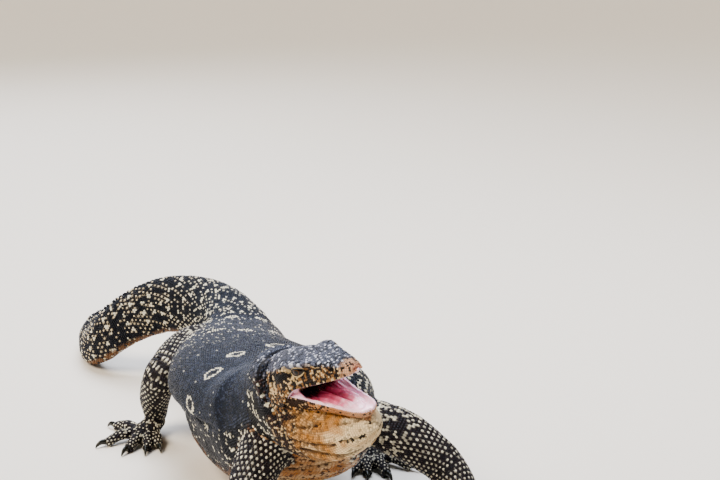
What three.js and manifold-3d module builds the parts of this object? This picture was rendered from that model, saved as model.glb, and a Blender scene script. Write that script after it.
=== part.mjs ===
// A large water monitor lizard, life size, standing on its four feet with the head raised and the mouth open.
// Millimetres, +Z up. The trunk lies along Y with the head towards -Y, the head turns a little to the left
// (+X), and the tail rises behind the hips, swings to the right (-X) and comes back along the floor.
// The origin is on the floor, under the middle of the whole animal.
// The body is a row of cross-sections, ovals with their own place and sizes, joined into a smooth skin.

import * as THREE from "three";
import { mergeVertices } from "three/addons/utils/BufferGeometryUtils.js";
import Module from "manifold-3d";

const wasm = await Module();
wasm.setup();

// Driving sizes. The gap keeps two neighbouring pieces from touching.
const GAP = 0.3;
const HEAD_LENGTH = 132;
const GAPE = 21; // degrees the lower jaw is swung down
const EYE_RADIUS = 8.6;
const CLAW_LENGTH = 16;
const LOWER_FULLNESS = 1.16; // how much squarer the underside of a section is than its upper side

// Where the skull joins the neck, and how the head is held: turned left, tipped up and its left cheek raised.
// In degrees.
const HEAD_BASE = [-57, -277, 235];
const HEAD_FACING = [21.5, 18, 15];

const SKIN = new THREE.MeshStandardMaterial({ color: 0x22262c, roughness: 0.5 });
const THROAT_SKIN = new THREE.MeshStandardMaterial({ color: 0x9c6c38, roughness: 0.6 });
const MOUTH_LINING = new THREE.MeshStandardMaterial({ color: 0xd88c9c, roughness: 0.35 });
const CLAW_HORN = new THREE.MeshStandardMaterial({ color: 0x17130f, roughness: 0.3 });
const EYE_GLOSS = new THREE.MeshStandardMaterial({ color: 0x1a0f08, roughness: 0.08 });

const radians = THREE.MathUtils.degToRad;
const UPRIGHT = new THREE.Vector3(0, 0, 1);

// The row of numbers at place t of a table, on a Catmull-Rom curve through its rows: t = 0 is the first row.
function rowAt(table, t) {
  const last = table.length - 1;
  const i = Math.min(Math.max(Math.floor(t), 0), last - 1);
  const s = t - i;
  const row = (k) => table[Math.min(Math.max(k, 0), last)];
  const [s2, s3] = [s * s, s * s * s];
  return table[i].map((start, c) => {
    const end = row(i + 1)[c];
    const tangentIn = i === 0 ? end - start : (end - row(i - 1)[c]) / 2;
    const tangentOut = i + 2 > last ? end - start : (row(i + 2)[c] - start) / 2;
    const near = (2 * s3 - 3 * s2 + 1) * start + (s3 - 2 * s2 + s) * tangentIn;
    return near + (3 * s2 - 2 * s3) * end + (s3 - s2) * tangentOut;
  });
}

// The way a table's centre line runs at place t.
function headingAt(table, t) {
  const step = 1e-3;
  const ahead = rowAt(table, Math.min(t + step, table.length - 1));
  const behind = rowAt(table, Math.max(t - step, 0));
  return new THREE.Vector3(ahead[0] - behind[0], ahead[1] - behind[1], ahead[2] - behind[2]).normalize();
}

// A number drawn towards 0 or 1 outside the range from low to high, and eased between them.
const eased = (low, high, x) => THREE.MathUtils.smoothstep(x, low, high);

// The outline of a section: half width w, height up and down, a power that squares its corners when above 2,
// and a tuck that draws the flank in below a fold.
function sectionPoint(angle, w, up, down, power = 2, tuck = 0) {
  const squareness = Math.sin(angle) < 0 ? power * LOWER_FULLNESS : power;
  const round = (v) => Math.sign(v) * Math.abs(v) ** (2 / squareness);
  const [c, s] = [round(Math.cos(angle)), round(Math.sin(angle))];
  return [w * c * (1 - tuck * eased(0.02, 0.3, -s)), (s > 0 ? up : down) * s];
}

// Closes a stack of rings into one skin, with a fan at each end. Each ring runs anticlockwise seen from the
// side the stack goes to.
function skinOver(rings) {
  const sides = rings[0].length;
  const middle = (ring) => ring.reduce((sum, p) => sum.add(p), new THREE.Vector3()).divideScalar(sides);
  const points = [...rings.flat(), middle(rings[0]), middle(rings.at(-1))];
  const [first, last] = [points.length - 2, points.length - 1];
  const rear = (rings.length - 1) * sides;
  const index = [];
  for (let j = 0; j < sides; j += 1) {
    const next = (j + 1) % sides;
    for (let a = 0; a < rear; a += sides) {
      index.push(a + j, a + next, a + sides + j, a + next, a + sides + next, a + sides + j);
    }
    index.push(first, next, j, last, rear + j, rear + next);
  }
  return new THREE.BufferGeometry().setFromPoints(points).setIndex(index);
}

// A geometry as a solid that can be joined and cut.
function solidOf(geometry) {
  const bare = geometry.clone();
  for (const name of ["normal", "uv"]) bare.deleteAttribute(name);
  const merged = mergeVertices(bare, 1e-4);
  const vertProperties = new Float32Array(merged.attributes.position.array);
  const triVerts = new Uint32Array(merged.index.array);
  return new wasm.Manifold(new wasm.Mesh({ numProp: 3, vertProperties, triVerts }));
}

// The largest closed surface of a solid, without the scraps that a cut leaves.
const largestOf = (solid) => solid.decompose().sort((a, b) => b.volume() - a.volume())[0];

const BELOW_FLOOR = solidOf(new THREE.BoxGeometry(4000, 4000, 1000).translate(0, 0, -500));
const lizard = new THREE.Group();

// Puts a solid into the model as one named piece, flat where it meets the floor.
function place(name, solid, material) {
  const { vertProperties, triVerts, numProp } = largestOf(solid.subtract(BELOW_FLOOR)).getMesh();
  const geometry = new THREE.BufferGeometry();
  const positions = new THREE.InterleavedBuffer(vertProperties, numProp);
  geometry.setAttribute("position", new THREE.InterleavedBufferAttribute(positions, 3, 0));
  geometry.setIndex(new THREE.BufferAttribute(triVerts, 1));
  const mesh = new THREE.Mesh(geometry, material);
  mesh.name = name;
  lizard.add(mesh);
}

// A length of body, limb or digit between two places of its table. Rows hold centre x, y, z, roll, half
// width, height up, height down, squareness and tuck; "reference" is the side its upper half faces.
// Ends step in for the gap.
function length(table, [from, to], rings, sides, { reference = UPRIGHT, grow = 0 } = {}) {
  const stack = [];
  for (let i = 0; i <= rings; i += 1) {
    const t = from + ((to - from) * i) / rings;
    const [x, y, z, roll, w, up, down, power, tuck] = rowAt(table, t);
    const along = headingAt(table, t);
    const level = new THREE.Vector3().crossVectors(reference, along).normalize();
    const upright = new THREE.Vector3().crossVectors(along, level);
    const across = level.clone().applyAxisAngle(along, radians(roll));
    const high = upright.applyAxisAngle(along, radians(roll));
    const end = i === 0 ? 1 : i === rings ? -1 : 0;
    const centre = new THREE.Vector3(x, y, z).addScaledVector(along, end * (GAP / 2 - grow));
    const ring = [];
    for (let j = 0; j < sides; j += 1) {
      const [a, h] = sectionPoint((2 * Math.PI * j) / sides, w + grow, up + grow, down + grow, power, tuck);
      ring.push(centre.clone().addScaledVector(across, a).addScaledVector(high, h));
    }
    stack.push(ring);
  }
  return solidOf(skinOver(stack));
}

// An egg at a centre with three half sizes.
function egg([x, y, z], [a, b, c], detail = 14) {
  return solidOf(new THREE.SphereGeometry(1, detail, detail - 4).scale(a, b, c).translate(x, y, z));
}

// The head's own frame: x forward from the neck joint, y left, z up.
function headFrame() {
  const [turn, tip, roll] = HEAD_FACING.map(radians);
  const level = Math.cos(tip);
  const forward = new THREE.Vector3(Math.sin(turn) * level, -Math.cos(turn) * level, Math.sin(tip));
  const left = new THREE.Vector3(Math.cos(turn), Math.sin(turn), 0).applyAxisAngle(forward, roll);
  const up = new THREE.Vector3().crossVectors(forward, left);
  return new THREE.Matrix4().makeBasis(forward, left, up).setPosition(...HEAD_BASE);
}

const HEAD = headFrame();

// Body sections from the back of the head to the tip of the tail: the trunk, a raised arch, then an S on the
// floor.
const SPINE = [
  [...HEAD_BASE, -13, 36, 31, 32, 2.2, 0], // behind the jaws
  [-57, -250, 224, -12, 36, 36, 42, 2.2, 0], // nape
  [-45, -222, 202, -8, 48, 44, 58, 2.2, 0], // middle of the neck
  [-30, -190, 176, -5, 72, 51, 70, 2.2, 0], // neck root
  [-18, -152, 152, -3, 96, 58, 86, 2.5, 0.03], // shoulders
  [-15, -96, 134, -1, 104, 60, 98, 2.5, 0.07], // chest
  [-26, -32, 126, 0, 104, 58, 102, 2.6, 0.14], // ribs
  [-38, 36, 122, 0, 99, 57, 100, 2.5, 0.2], // belly
  [-33, 106, 120, 0, 85, 52, 88, 2.4, 0.16], // loin
  [-12, 188, 118, 0, 66, 46, 62, 2.3, 0.08], // hips
  [-1, 245, 125, 0, 45, 44, 50, 2.2, 0], // tail root
  [-8, 305, 133, 0, 35, 44, 46, 2.1, 0],
  [-32, 360, 133, 0, 30, 44, 45, 2.1, 0],
  [-70, 406, 126, 0, 26, 42, 42, 2.1, 0],
  [-110, 436, 106, 0, 23, 39, 38, 2.1, 0],
  [-144, 460, 79, 0, 21, 35, 34, 2.1, 0],
  [-167, 488, 50, 0, 18.5, 31, 31, 2.1, 0],
  [-178, 528, 31, 0, 16.5, 28, 28, 2.1, 0],
  [-176, 582, 26, 0, 15, 26, 26.4, 2.1, 0],
  [-154, 652, 23, 0, 13.5, 23, 23.3, 2.1, 0],
  [-104, 716, 20, 0, 12, 19.5, 20.4, 2.1, 0],
  [-36, 772, 16, 0, 10, 15.5, 16.4, 2.1, 0],
  [38, 806, 12, 0, 8, 12, 12.5, 2.1, 0],
  [98, 790, 9, 0, 6, 8.5, 9.5, 2, 0],
  [108, 734, 6, 0, 4.2, 5.5, 6.5, 2, 0],
  [70, 700, 4, 0, 2.8, 3.5, 4.4, 2, 0],
  [26, 704, 2.4, 0, 1.4, 1.6, 2.8, 2, 0],
];

// Upper head: distance forward, half width, crown, lip line, depth of the palate, squareness.
const CRANIUM = [
  [0, 34, 29.5, -30, 0.6, 2.2],
  [20, 37, 30, -24, 0.6, 2.4],
  [36, 36.5, 29.5, -11, 0.8, 2.6],
  [50, 33.5, 27.5, -3.5, 5, 2.8],
  [62, 30, 26.5, -3, 8, 3],
  [76, 25.5, 24, -3, 9, 3],
  [90, 21, 20.5, -3, 8.5, 2.8],
  [104, 17.5, 18, -2.5, 7, 2.6],
  [115, 14.5, 15.5, -2, 5.5, 2.4],
  [124, 10.5, 12, -1.5, 3.5, 2.2],
  [129.5, 6, 8, -0.5, 1.6, 2.1],
  [HEAD_LENGTH, 1.5, 4.5, 1, 0.5, 2],
];

// Lower jaw in the same frame with the mouth closed: distance, half width, keel, lip line, depth of its
// floor, squareness.
const JAW = [
  [8, 24, -30, -8, 0.6, 2.2],
  [24, 31, -32, -6, 0.6, 2.3],
  [40, 32, -29, -3, 1, 2.4],
  [54, 30, -25, -2, 6, 2.4],
  [70, 26, -21.5, -3.5, 8, 2.4],
  [88, 21.5, -19.5, -4.5, 8, 2.3],
  [106, 18, -17.5, -4.5, 7, 2.2],
  [120, 14.5, -15.5, -4, 5, 2.2],
  [129, 9.5, -12, -3.5, 3, 2.1],
  [133, 2, -6.5, -3, 0.6, 2],
];
const JAW_JOINT = [20, 0, -6];
const LIP_THICKNESS = 3.2;

// A jaw's ring: the outside from lip to lip, then back across the hollow side.
function jawRing([x, w, outer, lip, hollow, power], grow) {
  const outward = Math.sign(outer - lip);
  const tall = Math.abs(outer - lip);
  const inside = Math.max(w - Math.min(LIP_THICKNESS, w * 0.35) - grow, w * 0.3);
  const deep = Math.min(hollow, tall * 0.6);
  const ring = [];
  for (let j = 0; j <= 16; j += 1) {
    const [across, high] = sectionPoint((Math.PI * j) / 16, w + grow, tall + grow, 0, power);
    ring.push(new THREE.Vector3(x, across, lip + outward * (high - grow * (1 - high / (tall + grow)))));
  }
  for (let j = 0; j < 8; j += 1) {
    const angle = (Math.PI * (j + 0.5)) / 8;
    const rise = deep * Math.sin(angle) ** 0.7 - grow;
    ring.push(new THREE.Vector3(x, -inside * Math.cos(angle), lip + outward * rise));
  }
  return outward > 0 ? ring : ring.reverse();
}

// A whole jaw as a solid in the head's own frame.
function jawSolid(table, rings, grow = 0) {
  const places = Array.from({ length: rings + 1 }, (_, i) => ((table.length - 1) * i) / rings);
  return solidOf(skinOver(places.map((t) => jawRing(rowAt(table, t), grow))));
}

// Brow and snout ridge of one side: centre x, y, z, roll, half width, height up and down, squareness, tuck.
const BROW = [
  [26, 30, 16, 0, 3, 3, 4, 2, 0],
  [44, 28, 21.4, 0, 5, 3.6, 6, 2, 0],
  [62, 25, 23.4, 0, 5.5, 3.6, 6, 2, 0],
  [78, 19, 20.2, 0, 5, 3.2, 5, 2, 0],
  [96, 13.5, 16.4, 0, 4, 2.8, 4, 2, 0],
  [110, 10, 13, 0, 2.4, 2, 3, 2, 0],
];
const EYE_AT = [62, 21.5, 15.5];
const EAR_AT = [15, 36, 7];
const NOSTRIL_AT = [106, 16.6, 9];

// The cranium with its brows, lids, eye sockets, ear cups and nostrils.
function buildCranium() {
  let solid = jawSolid(CRANIUM, 25);
  for (const side of [-1, 1]) {
    const at = ([x, y, z]) => [x, y * side, z];
    const [ex, ey, ez] = EYE_AT;
    const brow = BROW.map(([x, y, z, ...sizes]) => [x, y * side, z, ...sizes]);
    solid = solid.add(length(brow, [0, BROW.length - 1], 10, 8));
    solid = solid.add(egg(at(EYE_AT), [13, 10.3, 10.4], 13));
    solid = solid.subtract(egg(at(EYE_AT), [EYE_RADIUS + GAP, EYE_RADIUS + GAP, EYE_RADIUS + GAP], 14));
    solid = solid.subtract(egg(at([ex, ey + 9, ez - 0.4]), [8.6, 8, 4.3], 12));
    solid = solid.subtract(egg(at(EAR_AT), [4.6, 3.2, 8.6], 12));
    solid = solid.subtract(egg(at(NOSTRIL_AT), [3.6, 3, 2.4], 10));
  }
  return solid;
}

const swing = new THREE.Matrix4()
  .makeTranslation(...JAW_JOINT)
  .multiply(new THREE.Matrix4().makeRotationY(radians(GAPE)))
  .multiply(new THREE.Matrix4().makeTranslation(...JAW_JOINT.map((v) => -v)));
const inHead = (solid) => solid.transform(HEAD.elements);
const inJaw = (solid) => inHead(solid.transform(swing.elements));

const cranium = inHead(buildCranium());
const craniumGrown = inHead(jawSolid(CRANIUM, 25, GAP + 0.05));
const jaw = inJaw(jawSolid(JAW, 19)).subtract(craniumGrown);
const jawGrown = inJaw(jawSolid(JAW, 19, GAP + 0.05));
const mouthFloor = inJaw(egg([84, 0, -9.5], [34, 17, 5.5], 14));
place("head", cranium, SKIN);
place("lower_jaw", jaw, THROAT_SKIN);
place("mouth_floor", mouthFloor.subtract(jawGrown), MOUTH_LINING);
for (const [name, side] of [["eye_right", -1], ["eye_left", 1]]) {
  const [x, y, z] = EYE_AT;
  place(name, inHead(egg([x, y * side, z], [EYE_RADIUS, EYE_RADIUS, EYE_RADIUS], 14)), EYE_GLOSS);
}

// The blown-up throat under the jaw, in the jaw's frame: from the neck forward to the chin.
const THROAT = [
  [-50, 18, -60, 0, 34, 28, 42, 2.2, 0],
  [-10, 5, -46, 0, 43, 28, 42, 2.2, 0],
  [28, 0, -42, 0, 49, 24, 42, 2.2, 0],
  [62, 0, -42, 0, 44, 24, 42, 2.2, 0],
  [90, 0, -38, 0, 36, 20, 33, 2.2, 0],
  [112, 0, -30, 0, 25, 14, 20, 2.2, 0],
  [126, 0, -23, 0, 10, 7, 8, 2.2, 0],
];
const buildThroat = (grow) => inJaw(length(THROAT, [0, 6], 12, 22, { grow }));
const buildNeck = (grow) => length(SPINE, [0, 4], 14, 28, { grow }).add(buildThroat(grow));
const buildTorso = (grow) => length(SPINE, [4, 10], 22, 32, { grow });
const torsoGrown = buildTorso(GAP + 0.05);
const neck = buildNeck(0).subtract(torsoGrown);
place("neck", neck.subtract(craniumGrown).subtract(jawGrown), THROAT_SKIN);
place("torso", buildTorso(0), SKIN);

const TAIL_CUTS = [10, 13, 16, 19, 22, 26];
TAIL_CUTS.slice(1).forEach((to, k) => {
  const from = TAIL_CUTS[k];
  place(`tail_${k + 1}`, length(SPINE, [from, to], (to - from) * 3, k < 3 ? 18 : 12), SKIN);
});

// Legs from the joint inside the body to the wrist or ankle, with the elbow or knee in the middle row.
const LEGS = {
  arm_right: {
    names: ["upper_arm_right", "forearm_right"],
    reference: new THREE.Vector3(0, -0.4, 1),
    rows: [
      [-30, -172, 138, 0, 26, 26, 26, 2, 0],
      [-68, -212, 128, 0, 29, 30, 28, 2, 0],
      [-100, -258, 96, 0, 23, 25, 24, 2, 0],
      [-106, -300, 58, 0, 20, 21, 19, 2, 0],
      [-110, -332, 24, 0, 15, 13, 12, 2, 0],
    ],
  },
  arm_left: {
    names: ["upper_arm_left", "forearm_left"],
    reference: new THREE.Vector3(0, -0.4, 1),
    rows: [
      [52, -172, 138, 0, 26, 26, 26, 2, 0],
      [100, -202, 122, 0, 28, 29, 27, 2, 0],
      [146, -228, 86, 0, 22, 24, 23, 2, 0],
      [160, -266, 52, 0, 19, 20, 18, 2, 0],
      [166, -300, 24, 0, 15, 13, 12, 2, 0],
    ],
  },
  leg_right: {
    names: ["thigh_right", "shank_right"],
    reference: new THREE.Vector3(-0.3, -1, 0.3),
    rows: [
      [-30, 204, 120, 0, 30, 30, 30, 2, 0],
      [-82, 178, 124, 0, 32, 33, 31, 2, 0],
      [-126, 142, 108, 0, 24, 26, 24, 2, 0],
      [-134, 170, 68, 0, 21, 22, 20, 2, 0],
      [-131, 196, 27, 0, 15, 15, 14, 2, 0],
    ],
  },
  leg_left: {
    names: ["thigh_left", "shank_left"],
    reference: new THREE.Vector3(0.3, -1, 0.3),
    rows: [
      [22, 190, 104, 0, 28, 28, 28, 2, 0],
      [58, 154, 96, 0, 30, 31, 30, 2, 0],
      [92, 104, 78, 0, 23, 24, 23, 2, 0],
      [110, 62, 52, 0, 20, 21, 19, 2, 0],
      [121, 24, 26, 0, 14, 14, 13, 2, 0],
    ],
  },
};

const trunkGrown = torsoGrown.add(buildNeck(GAP + 0.05));
const lowerEnds = {};
for (const { names, reference, rows } of Object.values(LEGS)) {
  const upperGrown = length(rows, [0, 2], 6, 14, { reference, grow: GAP }).add(trunkGrown);
  place(names[0], length(rows, [0, 2], 6, 14, { reference }).subtract(trunkGrown), SKIN);
  place(names[1], length(rows, [2, 4], 6, 14, { reference }).subtract(upperGrown), SKIN);
  lowerEnds[names[1]] = length(rows, [2, 4], 6, 14, { reference, grow: GAP + 0.05 });
}

// Hands and feet. Digits from the innermost out: angle from the paw's heading, reach and thickness. A palm
// has its length and half width.
const HAND_DIGITS = [
  [50, 30, 7.2],
  [26, 40, 7.4],
  [2, 45, 7.4],
  [-24, 43, 7.2],
  [-56, 31, 6.8],
];
const FOOT_DIGITS = [
  [44, 25, 7.4],
  [24, 33, 7.8],
  [2, 42, 7.8],
  [-32, 44, 7.6],
  [-102, 45, 7.2],
];
const HAND_PALM = [34, 22];
const FOOT_PALM = [42, 23];
const HAND = { palm: HAND_PALM, digits: HAND_DIGITS };
const FOOT = { palm: FOOT_PALM, digits: FOOT_DIGITS };
const PAWS = {
  hand_right: { ...HAND, joint: [-110, -330, 22], points: -16, inner: 1, lower: "forearm_right" },
  hand_left: { ...HAND, joint: [166, -298, 22], points: 22, inner: -1, lower: "forearm_left" },
  foot_right: { ...FOOT, joint: [-132, 192, 24], points: -42, inner: 1, lower: "shank_right" },
  foot_left: { ...FOOT, joint: [121, 24, 24], points: 10, inner: -1, lower: "shank_left" },
};

// Builds one hand or foot as a single piece, and its five claws as pieces of their own.
function buildPaw(name, { joint, points, inner, palm, digits, lower }) {
  const heading = (degrees) => new THREE.Vector3(Math.sin(radians(degrees)), -Math.cos(radians(degrees)), 0);
  const [reachOfPalm, width] = palm;
  const ahead = heading(points);
  const start = new THREE.Vector3(joint[0], joint[1], 0);
  const along = (d, z) => [start.x + ahead.x * d, start.y + ahead.y * d, z];
  const palmRows = [
    [...along(-6, joint[2] - 1), 0, 13, 12, 13, 2, 0],
    [...along(reachOfPalm * 0.35, joint[2] * 0.75), 0, 16, 11, 13, 2, 0],
    [...along(reachOfPalm * 0.75, 10.5), 0, width, 9, 11.5, 2.3, 0],
    [...along(reachOfPalm, 8), 0, width * 0.8, 6, 9, 2.3, 0],
  ];
  let paw = length(palmRows, [0, 3], 5, 11);
  const claws = digits.map(([spread, reach, thick], k) => {
    const way = heading(points + inner * spread);
    const aside = heading(points + inner * 90);
    const back = 0.78 - 0.3 * Math.abs(spread / 90) ** 1.5;
    const out = 0.78 * Math.sin(radians(THREE.MathUtils.clamp(spread * 1.6, -90, 90)));
    const root = start.clone().addScaledVector(ahead, reachOfPalm * back);
    root.addScaledVector(aside, width * out);
    const at = (d, z) => [root.x + way.x * d, root.y + way.y * d, z];
    const rows = [
      [...at(-6, 9), 0, thick * 0.9, thick * 0.8, thick, 2, 0],
      [...at(reach * 0.36, 13.5), 0, thick, thick, thick, 2, 0],
      [...at(reach * 0.72, 10.5), 0, thick * 0.85, thick * 0.85, thick * 0.9, 2, 0],
      [...at(reach, 5.6), 0, thick * 0.8, thick * 0.8, thick * 0.85, 2, 0],
    ];
    const claw = [
      [...at(reach - 2, 6.6), 0, thick * 0.44, thick * 0.6, thick * 0.5, 2, 0],
      [...at(reach + CLAW_LENGTH * 0.42, 8), 0, thick * 0.36, thick * 0.5, thick * 0.44, 2, 0],
      [...at(reach + CLAW_LENGTH * 0.8, 5.2), 0, thick * 0.22, thick * 0.3, thick * 0.28, 2, 0],
      [...at(reach + CLAW_LENGTH, 1.4), 0, 0.5, 0.6, 0.6, 2, 0],
    ];
    paw = paw.add(length(rows, [0, 3], 5, 7));
    const toeGrown = length(rows, [0, 3], 5, 7, { grow: GAP + 0.05 });
    return [`claw_${name}_${k + 1}`, length(claw, [0, 3], 4, 6).subtract(toeGrown)];
  });
  place(name, paw.subtract(lowerEnds[lower]), SKIN);
  for (const [clawName, claw] of claws) place(clawName, claw, CLAW_HORN);
}
for (const [name, paw] of Object.entries(PAWS)) buildPaw(name, paw);

lizard.updateMatrixWorld(true);
const box = new THREE.Box3().setFromObject(lizard);
const centre = box.getCenter(new THREE.Vector3());
lizard.position.set(-centre.x, -centre.y, -box.min.z);

export default lizard;
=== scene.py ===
"""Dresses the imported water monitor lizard: one skin over the flesh, a coat of scales, eyes, mouth and claws.

Shapes are worked out in millimetres, in the coordinates of the lizard's sections. Every finished mesh is put
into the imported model's own frame, in metres.
"""

import logging
import math
from dataclasses import dataclass
from enum import Enum
from typing import Callable, Sequence

import bpy
import numpy as np
from bpy.types import Mesh, NodeSocket, Object
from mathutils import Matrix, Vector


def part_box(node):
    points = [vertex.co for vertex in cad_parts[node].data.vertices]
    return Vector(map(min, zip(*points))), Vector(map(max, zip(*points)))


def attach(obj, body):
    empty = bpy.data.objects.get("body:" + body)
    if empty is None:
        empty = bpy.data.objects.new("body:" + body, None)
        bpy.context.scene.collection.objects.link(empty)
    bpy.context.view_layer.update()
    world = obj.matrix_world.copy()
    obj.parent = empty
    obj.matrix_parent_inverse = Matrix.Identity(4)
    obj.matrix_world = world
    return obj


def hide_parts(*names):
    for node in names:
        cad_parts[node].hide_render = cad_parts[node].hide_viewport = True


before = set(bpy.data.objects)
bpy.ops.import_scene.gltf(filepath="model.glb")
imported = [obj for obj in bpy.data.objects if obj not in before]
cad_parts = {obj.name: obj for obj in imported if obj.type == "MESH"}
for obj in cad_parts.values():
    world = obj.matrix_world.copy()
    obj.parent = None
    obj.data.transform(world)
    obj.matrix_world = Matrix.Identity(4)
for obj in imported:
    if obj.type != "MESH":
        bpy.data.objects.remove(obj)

Array = np.ndarray
LOG = logging.getLogger("water_monitor")
MM = 0.001
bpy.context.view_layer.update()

HEAD_LENGTH = 132.0
GAPE = 21.0  # degrees the lower jaw is swung down
EYE_RADIUS = 8.6
EYE_BULGE = (10.8, 10.0, 10.0)  # half sizes of the flesh round the eye
EYE_OPENING = (56.0, 23.0)  # half width and half height of the almond between the lids, in degrees
EYE_FORWARD = 0.36  # how far the opening looks forward, as a slope
EYE_SLANT = 0.12  # how far its front corner lies lower
CLAW_LENGTH = 16.0
LOWER_FULLNESS = 1.16  # how much squarer the underside of a section is than its upper side
HEAD_BASE = (-57.0, -277.0, 235.0)
HEAD_FACING = (21.5, 18.0, 15.0)  # turned left, tipped up, left cheek raised, in degrees
EYE_AT = (62.0, 21.5, 15.5)
EAR_AT = (15.0, 36.0, 7.0)
NOSTRIL_AT = (106.0, 16.6, 9.0)
JAW_JOINT = (20.0, 0.0, -6.0)
LIP_THICKNESS = 3.2
UPRIGHT = (0.0, 0.0, 1.0)
SEED = 20
TINT = "tint"  # the attribute that holds each vertex's colour


def unit(vectors: Array) -> Array:
    """Scales each vector of an array (..., 3) to length 1."""
    return vectors / np.maximum(np.linalg.norm(vectors, axis=-1, keepdims=True), 1e-12)


def eased(low: float, high: float, x: Array) -> Array:
    """Gives 0 below low, 1 above high and an S-shaped rise between them."""
    s = np.clip((np.asarray(x, float) - low) / (high - low), 0, 1)
    return s * s * (3 - 2 * s)


def bell(distance: Array, width: float) -> Array:
    """Gives 1 at distance 0, falling to about a third at the width, as exp(-(distance / width) squared)."""
    return np.exp(-((distance / width) ** 2))


def ripple(points: Array, wavelength: float, seed: int) -> Array:
    """A smooth random field: the mean of eight sine waves that run in random directions.

    Args:
        points: Places (n, 3) in millimetres.
        wavelength: Rough distance between two crests, in millimetres.
        seed: Number that fixes the waves.

    Returns:
        One value for each place, mostly between -1 and 1.
    """
    rng = np.random.default_rng(seed)
    ways = unit(rng.normal(size=(8, 3))) * rng.uniform(0.7, 1.5, (8, 1)) * (2 * math.pi / wavelength)
    return np.sin(points @ ways.T + rng.uniform(0, 2 * math.pi, 8)).mean(axis=1) * 1.8


def linear(shade: int) -> Array:
    """Turns a screen colour such as 0x22262c into linear red, green and blue."""
    parts = np.array([(shade >> 16) & 255, (shade >> 8) & 255, shade & 255]) / 255
    return np.where(parts <= 0.04045, parts / 12.92, ((parts + 0.055) / 1.055) ** 2.4)


def blend(colour: Array, other: Array, share: Array) -> Array:
    """Mixes two colours, one value of share for each row."""
    share = np.clip(np.asarray(share, float), 0, 1)[..., None]
    return colour * (1 - share) + other * share


def evened(places: Array, size: float, seed: int) -> Array:
    """A patchy field of even spread: the rank of a smooth random field at each place, from 0 to 1."""
    noise = ripple(places, size, seed) + 0.5 * ripple(places, size * 0.45, seed + 50)
    rank = np.empty(len(noise))
    rank[np.argsort(noise)] = (np.arange(len(noise)) + 0.5) / max(len(noise), 1)
    return rank


def row_at(rows: Array, t: Array) -> Array:
    """The numbers at place t of a table, on a Catmull-Rom curve through its rows.

    Args:
        rows: Table (rows, columns).
        t: Places, where 0 is the first row, of any shape.

    Returns:
        Array of the shape of t with the columns as its last axis.
    """
    last = len(rows) - 1
    i = np.clip(np.floor(t).astype(int), 0, last - 1)
    s = (t - i)[..., None]
    start, end = rows[i], rows[i + 1]
    before, after = rows[np.maximum(i - 1, 0)], rows[np.minimum(i + 2, last)]
    tangent_in = np.where((i == 0)[..., None], end - start, (end - before) / 2)
    tangent_out = np.where((i + 2 > last)[..., None], end - start, (after - start) / 2)
    s2, s3 = s * s, s * s * s
    near = (2 * s3 - 3 * s2 + 1) * start + (s3 - 2 * s2 + s) * tangent_in
    return near + (3 * s2 - 2 * s3) * end + (s3 - s2) * tangent_out


def section_point(angle, w, up, down, power, tuck=0.0):
    """A point of a section's outline: a squared oval, squarer below, with the flank drawn in by the tuck.

    Args:
        angle: Angle round the section, 90 degrees at its upper side.
        w: Half width.
        up: Height above the centre.
        down: Depth below the centre.
        power: Squareness, where 2 is an ellipse.
        tuck: Share of the width that the flank loses below its fold.

    Returns:
        How far across and how far up the point lies.
    """
    sine, cosine = np.sin(angle), np.cos(angle)
    share = 2 / np.where(sine < 0, power * LOWER_FULLNESS, power)
    c = np.sign(cosine) * np.abs(cosine) ** share
    s = np.sign(sine) * np.abs(sine) ** share
    return w * c * (1 - tuck * eased(0.02, 0.3, -s)), np.where(s > 0, up, down) * s


class HeadFrame:
    """The head's frame, x forward from the neck, y left, z up, and the jaw's, swung down by the gape."""

    def __init__(self) -> None:
        """Works out the three axes from the way the head faces."""
        turn, tip, roll = np.radians(HEAD_FACING)
        level, flat = np.array([math.cos(turn), math.sin(turn), 0]), math.cos(tip)
        self.forward = np.array([math.sin(turn) * flat, -math.cos(turn) * flat, math.sin(tip)])
        self.left = level * math.cos(roll) + np.cross(self.forward, level) * math.sin(roll)
        self.up = np.cross(self.forward, self.left)
        self.axes = np.array([self.forward, self.left, self.up])

    def place(self, points: Array) -> Array:
        """Takes points of the head's frame to the lizard's."""
        return points @ self.axes + HEAD_BASE

    def local(self, points: Array) -> Array:
        """Takes points of the lizard's frame to the head's."""
        return (points - HEAD_BASE) @ self.axes.T

    @staticmethod
    def swing(points: Array, back: bool = False) -> Array:
        """Swings the jaw's points about its joint by the gape, or back to the closed mouth."""
        angle = math.radians(-GAPE if back else GAPE)
        x, y, z = np.moveaxis(np.asarray(points, float) - JAW_JOINT, -1, 0)
        turned = [x * math.cos(angle) + z * math.sin(angle), y, z * math.cos(angle) - x * math.sin(angle)]
        return np.stack(turned, axis=-1) + JAW_JOINT

    def place_jaw(self, points: Array) -> Array:
        """Takes points of the jaw's frame to the lizard's."""
        return self.place(self.swing(points))

    def jaw_local(self, points: Array) -> Array:
        """Takes points of the lizard's frame to the jaw's."""
        return self.swing(self.local(points), back=True)


HEAD = HeadFrame()


def eye_centre(side: int) -> Array:
    """The middle of the left eyeball, side 1, or the right one, side -1, in the head's frame."""
    return np.array(EYE_AT) * (1, side, 1)


def as_is(points: Array) -> Array:
    """Leaves points where they are: the sections of trunk and limbs are written in the lizard's frame."""
    return points


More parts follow.
